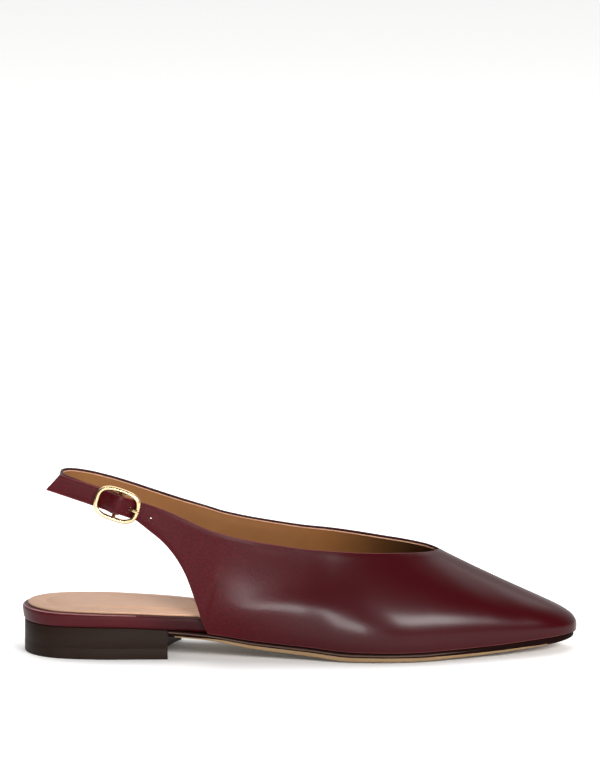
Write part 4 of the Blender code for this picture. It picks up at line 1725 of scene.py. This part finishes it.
@dataclass
class Bottom:
    """Outsole, heel block and top piece."""

    last: Last
    finishes: Finishes
    gap: float = 0.3
    outsole_inset: float = 1.2
    edge_run: float = 4.4
    edge_lift: float = 0.7
    edge_round: float = 0.6
    edge_steps: int = 5
    flat_margin: float = 2.0
    upper_turn: tuple[TurnRow, ...] = (
        TurnRow(0.0, -0.35),
        TurnRow(0.15, -0.08),
        TurnRow(0.45, 0.0),
    )
    # Bead in the ink, which wears the painted highlight.
    bead_share: float = 0.73
    bead_half: float = 0.075
    bead_stand: float = 0.06
    bead_fade: tuple[float, float] = (190.0, 222.0)
    ink: tuple[InkRow, ...] = (
        InkRow(70, 0.0),
        InkRow(80, 0.0),
        InkRow(85, 0.38),
        InkRow(96, 0.54),
        InkRow(180, 0.54),
        InkRow(218, 0.45),
        InkRow(230, 0.42),
        InkRow(242, 0.38),
        InkRow(252, 0.10),
        InkRow(256, 0.0),
    )
    ink_wrap_u: tuple[float, float] = (72.0, 250.0)
    ink_clear: float = 0.02
    heel_inset: float = 1.0
    top_piece_inset: float = 0.95
    top_piece_height: float = 5.4
    joint_gap: float = 0.02
    joint_round: float = 0.06
    foot_round: float = 0.4
    corner_share: float = 0.3
    seat_round: float = 0.3
    rows: int = 200
    columns: int = 14
    heel_rows: int = 90
    heel_columns: int = 24

    def sole_height(self, share: float, lift: float = 0.0) -> Callable[[Array], Array]:
        """Height function at a share of the outsole's thickness, plus a lift.

        Args:
            share: 0 at the underside, 1 at the top.
            lift: height added.

        Returns:
            Height for stations.
        """

        def height(u: Array) -> Array:
            """Height at each station."""
            low = self.last.level(Profile.UNDERSIDE, u)
            high = self.last.level(Profile.FEATHER, u) - self.gap
            return low + (high - low) * share + lift

        return height

    def ink_line(self, u: Array) -> Array:
        """Share of the edge's height where the ink begins; it reaches the bottom at the toe."""
        return np.interp(u, [row.u for row in self.ink], [row.share for row in self.ink])

    def ink_height(self, u: Array) -> Array:
        """Height of the ink's lower limit on the sole's edge.

        Args:
            u: stations.

        Returns:
            The height at each station.
        """
        low = self.last.level(Profile.UNDERSIDE, u)
        high = self.last.level(Profile.FEATHER, u) - self.gap
        share = self.ink_line(u)
        rounding = (self.edge_lift + self.edge_round) / (high - low)
        return low + (high - low) * np.maximum(share, rounding + self.ink_clear)

    def bead_height(self, side: float) -> Callable[[Array], Array]:
        """Height function of the bead that wears the painted highlight, side running from -1 below
        it to 1 above it.

        Args:
            side: place across the bead.

        Returns:
            Height for stations.
        """

        def height(u: Array) -> Array:
            """Height at each station; the bead narrows to nothing at its front."""
            half = self.bead_half * (1 - ease(*self.bead_fade, u))
            low = self.sole_height(0.0)(u)
            return low + (self.sole_height(1.0)(u) - low) * (self.bead_share + side * half)

        return height

    def build_outsole(self) -> bpy.types.Object:
        """Thin leather sole: tan below, inked dark above, with a bead in the ink painted lighter
        brown as a painted highlight.

        Returns:
            The piece.
        """
        inset, turn, stand = self.outsole_inset, self.edge_round, self.bead_stand
        levels = [
            Level(inset + self.edge_run + self.flat_margin, self.sole_height(0.0)),
            Level(inset + self.edge_run, self.sole_height(0.0)),
        ]
        turn_band = len(levels)
        for angle in np.linspace(0, math.pi / 2, self.edge_steps + 1):
            levels.append(Level(
                inset + turn * (1 - math.sin(angle)),
                self.sole_height(0.0, self.edge_lift + turn * (1 - math.cos(angle))),
            ))
        ink_band = len(levels)
        levels += [
            Level(inset, self.ink_height),
            Level(inset + stand, self.bead_height(-1.0)),
            Level(inset - stand, self.bead_height(-0.5)),
            Level(inset - stand, self.bead_height(0.5)),
            Level(inset + stand, self.bead_height(1.0)),
        ]
        levels += [
            Level(inset + row.inset, self.sole_height(1.0, row.lift)) for row in self.upper_turn
        ]

        def behind(v: Array) -> Array:
            """Station of the sole's back end, just clear of the heel's breast."""
            return self.last.breast(v) + self.gap

        slab = self.last.slab(levels, self.rows, self.columns, start=behind)
        looks = self.finishes
        finishes = [looks.sole.material(), looks.sole_edge.material(), looks.edge_bead.material()]
        centre_u = slab.points[slab.faces][:, :, 0].mean(axis=1)
        worn = np.where(slab.bands > ink_band, 1, 0)
        waist, toe = self.ink_wrap_u
        ends = (centre_u < waist) | (centre_u > toe)
        worn = np.where((slab.bands > turn_band) & ends, 1, worn)
        # The bead's faces wear the painted highlight, up to where the bead fades out.
        bead = (slab.bands > ink_band + 1) & (slab.bands <= ink_band + 4)
        worn = np.where(bead & (centre_u < self.bead_fade[1]), 2, worn)
        return settle_slab(
            self.last, slab, "outsole_leather", finishes, worn, "outsole", "sole_leather"
        )

    def build_heel(self) -> list[bpy.types.Object]:
        """Heel block and the top piece that it walks on.

        Returns:
            The two pieces.
        """

        def flat(z: float) -> Callable[[Array], Array]:
            """Height function of a level plane."""
            return lambda u: 0 * u + z

        def seat(drop: float) -> Callable[[Array], Array]:
            """Height function at a drop under the heel's seat."""
            return lambda u: self.last.level(Profile.FEATHER, u) - self.gap - drop

        foot = self.top_piece_height
        low = foot + self.joint_gap
        joint, turn, corner = self.joint_round, self.foot_round, self.corner_share
        inset = self.heel_inset
        block = [
            Level(inset + joint, flat(low)),
            Level(inset + joint * corner, flat(low + joint * corner)),
            Level(inset, flat(low + joint)),
            Level(inset, seat(self.seat_round)),
            Level(inset + self.seat_round, seat(0.0)),
        ]
        inset = self.top_piece_inset
        piece = [
            Level(inset + turn, flat(0.0)),
            Level(inset + turn * corner, flat(turn * corner)),
            Level(inset, flat(turn)),
            Level(inset, flat(foot - joint)),
            Level(inset + joint * corner, flat(foot - joint * corner)),
            Level(inset + joint, flat(foot)),
        ]
        looks = self.finishes
        made = []
        for name, levels, finish, slot in (
            ("heel_block", block, looks.stack, "heel_stack"),
            ("heel_top_piece", piece, looks.top_piece, "top_piece"),
        ):
            slab = self.last.slab(
                levels, self.heel_rows, self.heel_columns, finish=self.last.breast
            )
            made.append(settle_slab(
                self.last, slab, name + "_dressed", [finish.material()], 0, name, slot
            ))
        return made

    def build(self) -> list[bpy.types.Object]:
        """Builds and dresses the sole and the heel."""
        return [self.build_outsole(), *self.build_heel()]


class RimRow(NamedTuple):
    """Inset of the wrapped rim at a share of the footbed's thickness."""

    inset: float
    share: float


class SockRow(NamedTuple):
    """Outline of the sock, inset from its edge or its pad; the heights are shares."""

    on_pad: bool
    inset: float
    thickness: float
    rise: float
    crease: float


@dataclass
class Footbed:
    """Footbed wrapped in calf, and the padded sock on it."""

    last: Last
    finishes: Finishes
    gap: float = 0.3
    rim: tuple[RimRow, ...] = (
        RimRow(1.2, 0.0),
        RimRow(0.55, 0.14),
        RimRow(0.22, 0.40),
        RimRow(0.0, 0.70),
        RimRow(0.08, 0.86),
        RimRow(0.6, 0.96),
        RimRow(2.2, 1.0),
    )
    rim_steps: int = 22
    # Band of the rim's upper turn, behind a station, that wears the painted highlight.
    turn_share: tuple[float, float] = (0.93, 0.985)
    turn_u: float = 54.0
    thickness: float = 6.8
    sock_inset: float = 2.6
    sock_thickness: float = 0.8
    sock_tuck: float = 0.3
    sock_clear: float = 0.09
    sock_edge: float = 0.25
    pad_rise: float = 0.7
    pad_crease: float = 0.55
    pad_margin: float = 8.6
    sock: tuple[SockRow, ...] = (
        SockRow(False, 0.05, 0.7, 0.0, 0.0),
        SockRow(False, 0.25, 0.95, 0.0, 0.0),
        SockRow(False, 0.6, 1.0, 0.0, 0.0),
        SockRow(False, 2.0, 1.0, 0.25, 0.0),
        SockRow(True, -3.0, 1.0, 0.6, 0.0),
        SockRow(True, -1.6, 1.0, 0.6, 0.2),
        SockRow(True, -0.8, 1.0, 0.6, 0.7),
        SockRow(True, 0.0, 1.0, 0.6, 1.0),
        SockRow(True, 0.9, 1.0, 0.6, 0.5),
        SockRow(True, 2.2, 1.0, 0.9, 0.0),
        SockRow(True, 4.0, 1.0, 1.1, 0.0),
    )
    rows: int = 240
    columns: int = 20

    def height(self, share: float) -> Callable[[Array], Array]:
        """Height function at a share of the footbed's thickness.

        Args:
            share: 0 at the feather line, 1 at the top.

        Returns:
            Height for stations.
        """

        def read(u: Array) -> Array:
            """Height at each station."""
            low = self.last.level(Profile.FEATHER, u)
            return low + (self.last.level(Profile.FOOTBED_TOP, u) - low) * share

        return read

    def top(self, lift: float) -> Callable[[Array], Array]:
        """Height function at a lift above the footbed's top."""
        return lambda u: self.last.level(Profile.FOOTBED_TOP, u) + lift

    def build_rim(self) -> bpy.types.Object:
        """Wrapped footbed with its rounded rim.

        Returns:
            The piece.
        """
        rows = np.array(self.rim)
        knots = chord_knots(rows * np.array([1.0, self.thickness]))
        read = smooth(knots, rows, np.linspace(0, knots[-1], self.rim_steps))
        levels = [Level(max(inset, 0.0), self.height(share)) for inset, share in read]
        slab = self.last.slab(levels, self.rows, self.columns, tucked=True)
        low, high = self.turn_share
        share = np.append(read[:, 1], 1.0)[slab.bands]
        centre_u = slab.points[slab.faces][:, :, 0].mean(axis=1)
        # Faces of the upper turn towards the heel take the painted highlight.
        worn = np.where((share > low) & (share < high) & (centre_u < self.turn_u), 1, 0)
        finishes = [self.finishes.rim.material(), self.finishes.rim_turn.material()]
        return settle_slab(
            self.last, slab, "footbed_wrap", finishes, worn, "footbed", "footbed_wrap"
        )

    def build_sock(self) -> bpy.types.Object:
        """Nude leather sock with a soft pad pressed into its middle.

        Returns:
            The piece.
        """
        pad = self.sock_inset + self.pad_margin
        levels = [
            Level(self.sock_inset + self.sock_tuck, self.top(self.sock_clear)),
            Level(self.sock_inset, self.top(self.gap + self.sock_edge)),
        ]
        for row in self.sock:
            start = pad if row.on_pad else self.sock_inset
            lift = self.gap + self.sock_thickness * row.thickness
            lift += self.pad_rise * row.rise - self.pad_crease * row.crease
            levels.append(Level(start + row.inset, self.top(lift)))
        slab = self.last.slab(levels, self.rows, self.columns, tucked=True)
        return settle_slab(
            self.last, slab, "insole_sock_leather", [self.finishes.sock.material()], 0,
            "insole_sock", "sock_leather",
        )

    def build(self) -> list[bpy.types.Object]:
        """Builds and dresses the footbed and its sock."""
        return [self.build_rim(), self.build_sock()]


# Buckle


@dataclass
class Buckle:
    """Gold frame with its centre bar, and the prong that turns on the bar."""

    last: Last
    strap: Strap
    sweep: WireSweep
    finishes: Finishes
    frame_points: int = 96
    hook_points: int = 40
    prong_points: int = 30

    def build_frame(self) -> bpy.types.Object:
        """Rounded oval frame and its centre bar, swept as round wire.

        Returns:
            The piece.
        """
        strap = self.strap
        power = 2 / strap.frame_squareness
        turn = math.tau * (np.arange(self.frame_points) + 0.5) / self.frame_points
        across = np.sign(np.cos(turn)) * np.abs(np.cos(turn)) ** power * strap.frame_half_length
        upward = np.sign(np.sin(turn)) * np.abs(np.sin(turn)) ** power * strap.frame_half_height
        ring = [strap.point(a, p, strap.frame_lift) for a, p in zip(across, upward)]
        reach = strap.frame_half_height
        bar = [strap.point(0, side * reach, strap.frame_lift / 4) for side in (-1, 1)]
        gold = self.finishes.gold.material()
        metres = self.last.metres
        frame = self.sweep.wire(
            "buckle_frame_gold", metres(np.array(ring)), strap.wire_radius, gold, closed=True
        )
        post = self.sweep.wire("centre_bar", metres(np.array(bar)), strap.bar_radius, gold)
        mesh = carve(frame, [post], "UNION")
        return settle(show("buckle_frame_gold", mesh), "buckle_frame", "buckle_metal")

    def build_prong(self) -> bpy.types.Object:
        """Prong through the billet's hole, with its hook round the bar.

        Returns:
            The piece.
        """
        strap = self.strap
        path = np.array(strap.prong_path)
        knots = chord_knots(path)
        read = smooth(knots, path, np.linspace(0, knots[-1], self.prong_points))
        points = np.array([strap.point(a, 0, n) for a, n in read])
        gold = self.finishes.gold.material()
        wire, metres = strap.prong_radius, self.last.metres
        prong = self.sweep.wire("buckle_prong_gold", metres(points), wire, gold)
        radius = strap.bar_radius + strap.gap + wire
        turn = math.tau * np.arange(self.hook_points) / self.hook_points
        ring = np.array([strap.point(radius * math.cos(t), 0, radius * math.sin(t)) for t in turn])
        hook = self.sweep.wire("hook", metres(ring), wire, gold, closed=True)
        mesh = carve(prong, [hook], "UNION")
        return settle(show("buckle_prong_gold", mesh), "buckle_prong", "buckle_metal")

    def build(self) -> list[bpy.types.Object]:
        """Builds and dresses the frame and the prong."""
        return [self.build_frame(), self.build_prong()]


# Studio


class Softbox(NamedTuple):
    """Soft light: where it hangs round the shoe, in degrees and metres, its size and radiance."""

    name: str
    azimuth: float
    elevation: float
    distance: float
    width: float
    height: float
    radiance: float


@dataclass
class Studio:
    """White floor, soft lights and the camera at the photograph's angle."""

    elevation: float = 11.3
    distance: float = 6.0
    middle: tuple[float, float, float] = (0.0002, -0.0004, 0.04)
    rise_above_floor_line: float = 0.1223
    view_height: float = 0.3737
    sensor: float = 36.0
    clip_end: float = 60.0
    floor_radius: float = 14.0
    floor_glow_start: float = 0.09
    floor_glow_end: float = 0.22
    floor_glow_near: float = 0.03
    floor_glow_far: float = 0.50
    floor_glow_narrow: float = 2.6
    floor_points: int = 64
    floor_colour: str = "#FCFBFA"
    floor_roughness: float = 0.9
    floor_specular: float = 0.1
    light_colour: str = "#FFFFFF"
    sky_front: float = 0.03
    sky_back: float = 0.9
    sky_turn: tuple[float, float] = (-0.1, 0.6)
    lights: tuple[Softbox, ...] = (
        Softbox("overhead", 180, 70, 1.3, 1.7, 1.3, 1.75),
        Softbox("front_toe", 29.5, 24, 1.6, 0.86, 0.36, 26.0),
        Softbox("front_heel", -8.6, 6.5, 1.6, 0.22, 0.26, 37.0),
        Softbox("heel_side", -32, 38, 1.4, 0.5, 0.4, 3.0),
    )

    @staticmethod
    def direction(azimuth: float, elevation: float) -> Vector:
        """Direction from the shoe; azimuth 0 is the camera's side, 90 the toe's."""
        a, e = math.radians(azimuth), math.radians(elevation)
        return Vector((math.sin(a) * math.cos(e), -math.cos(a) * math.cos(e), math.sin(e)))

    def build_floor(self) -> bpy.types.Object:
        """Plain white floor that glows towards the horizon, as a lit studio sweep does.

        Returns:
            The floor.
        """
        material = bpy.data.materials.new("white_studio_floor")
        material.use_nodes = True
        tree = material.node_tree
        shader = tree.nodes["Principled BSDF"]
        for socket, value in (
            ("Base Color", hex_linear(self.floor_colour)),
            ("Roughness", self.floor_roughness),
            ("Specular IOR Level", self.floor_specular),
            ("Emission Color", hex_linear(self.light_colour)),
        ):
            shader.inputs[socket].default_value = value
        place = add_node(tree, "ShaderNodeTexCoord").outputs["Object"]
        oval = add_node(
            tree,
            "ShaderNodeVectorMath",
            {0: place, 1: (1.0, self.floor_glow_narrow, 1.0)},
            operation="MULTIPLY",
        )
        away = add_node(tree, "ShaderNodeVectorMath", {0: oval.outputs[0]}, operation="LENGTH")
        glow = add_node(
            tree,
            "ShaderNodeMapRange",
            {
                "Value": away.outputs["Value"],
                "From Min": self.floor_glow_start,
                "From Max": self.floor_glow_end,
                "To Min": self.floor_glow_near,
                "To Max": self.floor_glow_far,
            },
            interpolation_type="SMOOTHSTEP",
        )
        tree.links.new(glow.outputs[0], shader.inputs["Emission Strength"])
        turn = np.linspace(0, math.tau, self.floor_points, endpoint=False)
        ring = np.column_stack([np.cos(turn), np.sin(turn), 0 * turn]) * self.floor_radius
        mesh = make_mesh("studio_floor", ring, [range(self.floor_points)], [material], [0])
        floor = show("studio_floor", mesh)
        return floor

    def build_sky(self) -> None:
        """Dim room in front of the shoe, white sweep behind it."""
        world = bpy.data.worlds.new("studio_room")
        world.use_nodes = True
        tree = world.node_tree
        place = add_node(tree, "ShaderNodeTexCoord").outputs["Generated"]
        axis = add_node(tree, "ShaderNodeSeparateXYZ", {0: place})
        light = add_node(
            tree,
            "ShaderNodeMapRange",
            {
                "Value": axis.outputs["Y"],
                "From Min": self.sky_turn[0],
                "From Max": self.sky_turn[1],
                "To Min": self.sky_front,
                "To Max": self.sky_back,
            },
            interpolation_type="SMOOTHSTEP",
        )
        tree.links.new(light.outputs[0], tree.nodes["Background"].inputs["Strength"])
        tree.nodes["Background"].inputs["Color"].default_value = hex_linear(self.light_colour)
        bpy.context.scene.world = world

    def build_lights(self) -> None:
        """Soft lights, each facing the shoe."""
        for box in self.lights:
            light = bpy.data.lights.new(box.name, "AREA")
            light.shape = "RECTANGLE"
            light.size = box.width
            light.size_y = box.height
            light.energy = box.radiance * math.pi * box.width * box.height
            lamp = bpy.data.objects.new(box.name, light)
            back = self.direction(box.azimuth, box.elevation)
            lamp.location = back * box.distance
            lamp.rotation_mode = "QUATERNION"
            lamp.rotation_quaternion = (-back).to_track_quat("-Z", "Y")
            bpy.context.scene.collection.objects.link(lamp)

    def build_camera(self) -> None:
        """Camera level with the photograph's view of the shoe."""
        data = bpy.data.cameras.new("camera")
        data.sensor_width = self.sensor
        data.lens = self.sensor * self.distance / self.view_height
        data.clip_end = self.clip_end
        camera = bpy.data.objects.new("camera", data)
        camera.location = Vector(self.middle) + self.direction(0.0, self.elevation) * self.distance
        floor_line = math.atan2(camera.location.z, self.middle[1] - camera.location.y)
        pitch = floor_line - math.atan(self.rise_above_floor_line / self.distance)
        back = self.direction(0.0, math.degrees(pitch))
        camera.rotation_mode = "QUATERNION"
        camera.rotation_quaternion = (-back).to_track_quat("-Z", "Y")
        bpy.context.scene.collection.objects.link(camera)
        bpy.context.scene.camera = camera

    def build(self) -> None:
        """Builds the floor, the lights and the camera."""
        self.build_floor()
        self.build_sky()
        self.build_lights()
        self.build_camera()
        bpy.context.scene.view_settings.view_transform = "Standard"


def main() -> None:
    """Dresses the shoe piece by piece, then lights it."""
    logging.basicConfig(level=logging.INFO, format="%(name)s: %(message)s")
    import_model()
    last, strap, sweep, finishes = Last(), Strap(), WireSweep(), Finishes()
    pieces = Bottom(last, finishes).build()
    pieces += Footbed(last, finishes).build()
    pieces += Upper(last, strap, sweep, finishes).build()
    pieces += Buckle(last, strap, sweep, finishes).build()
    Studio().build()
    log.info("%d pieces", len(pieces))


if __name__ == "__main__":
    main()
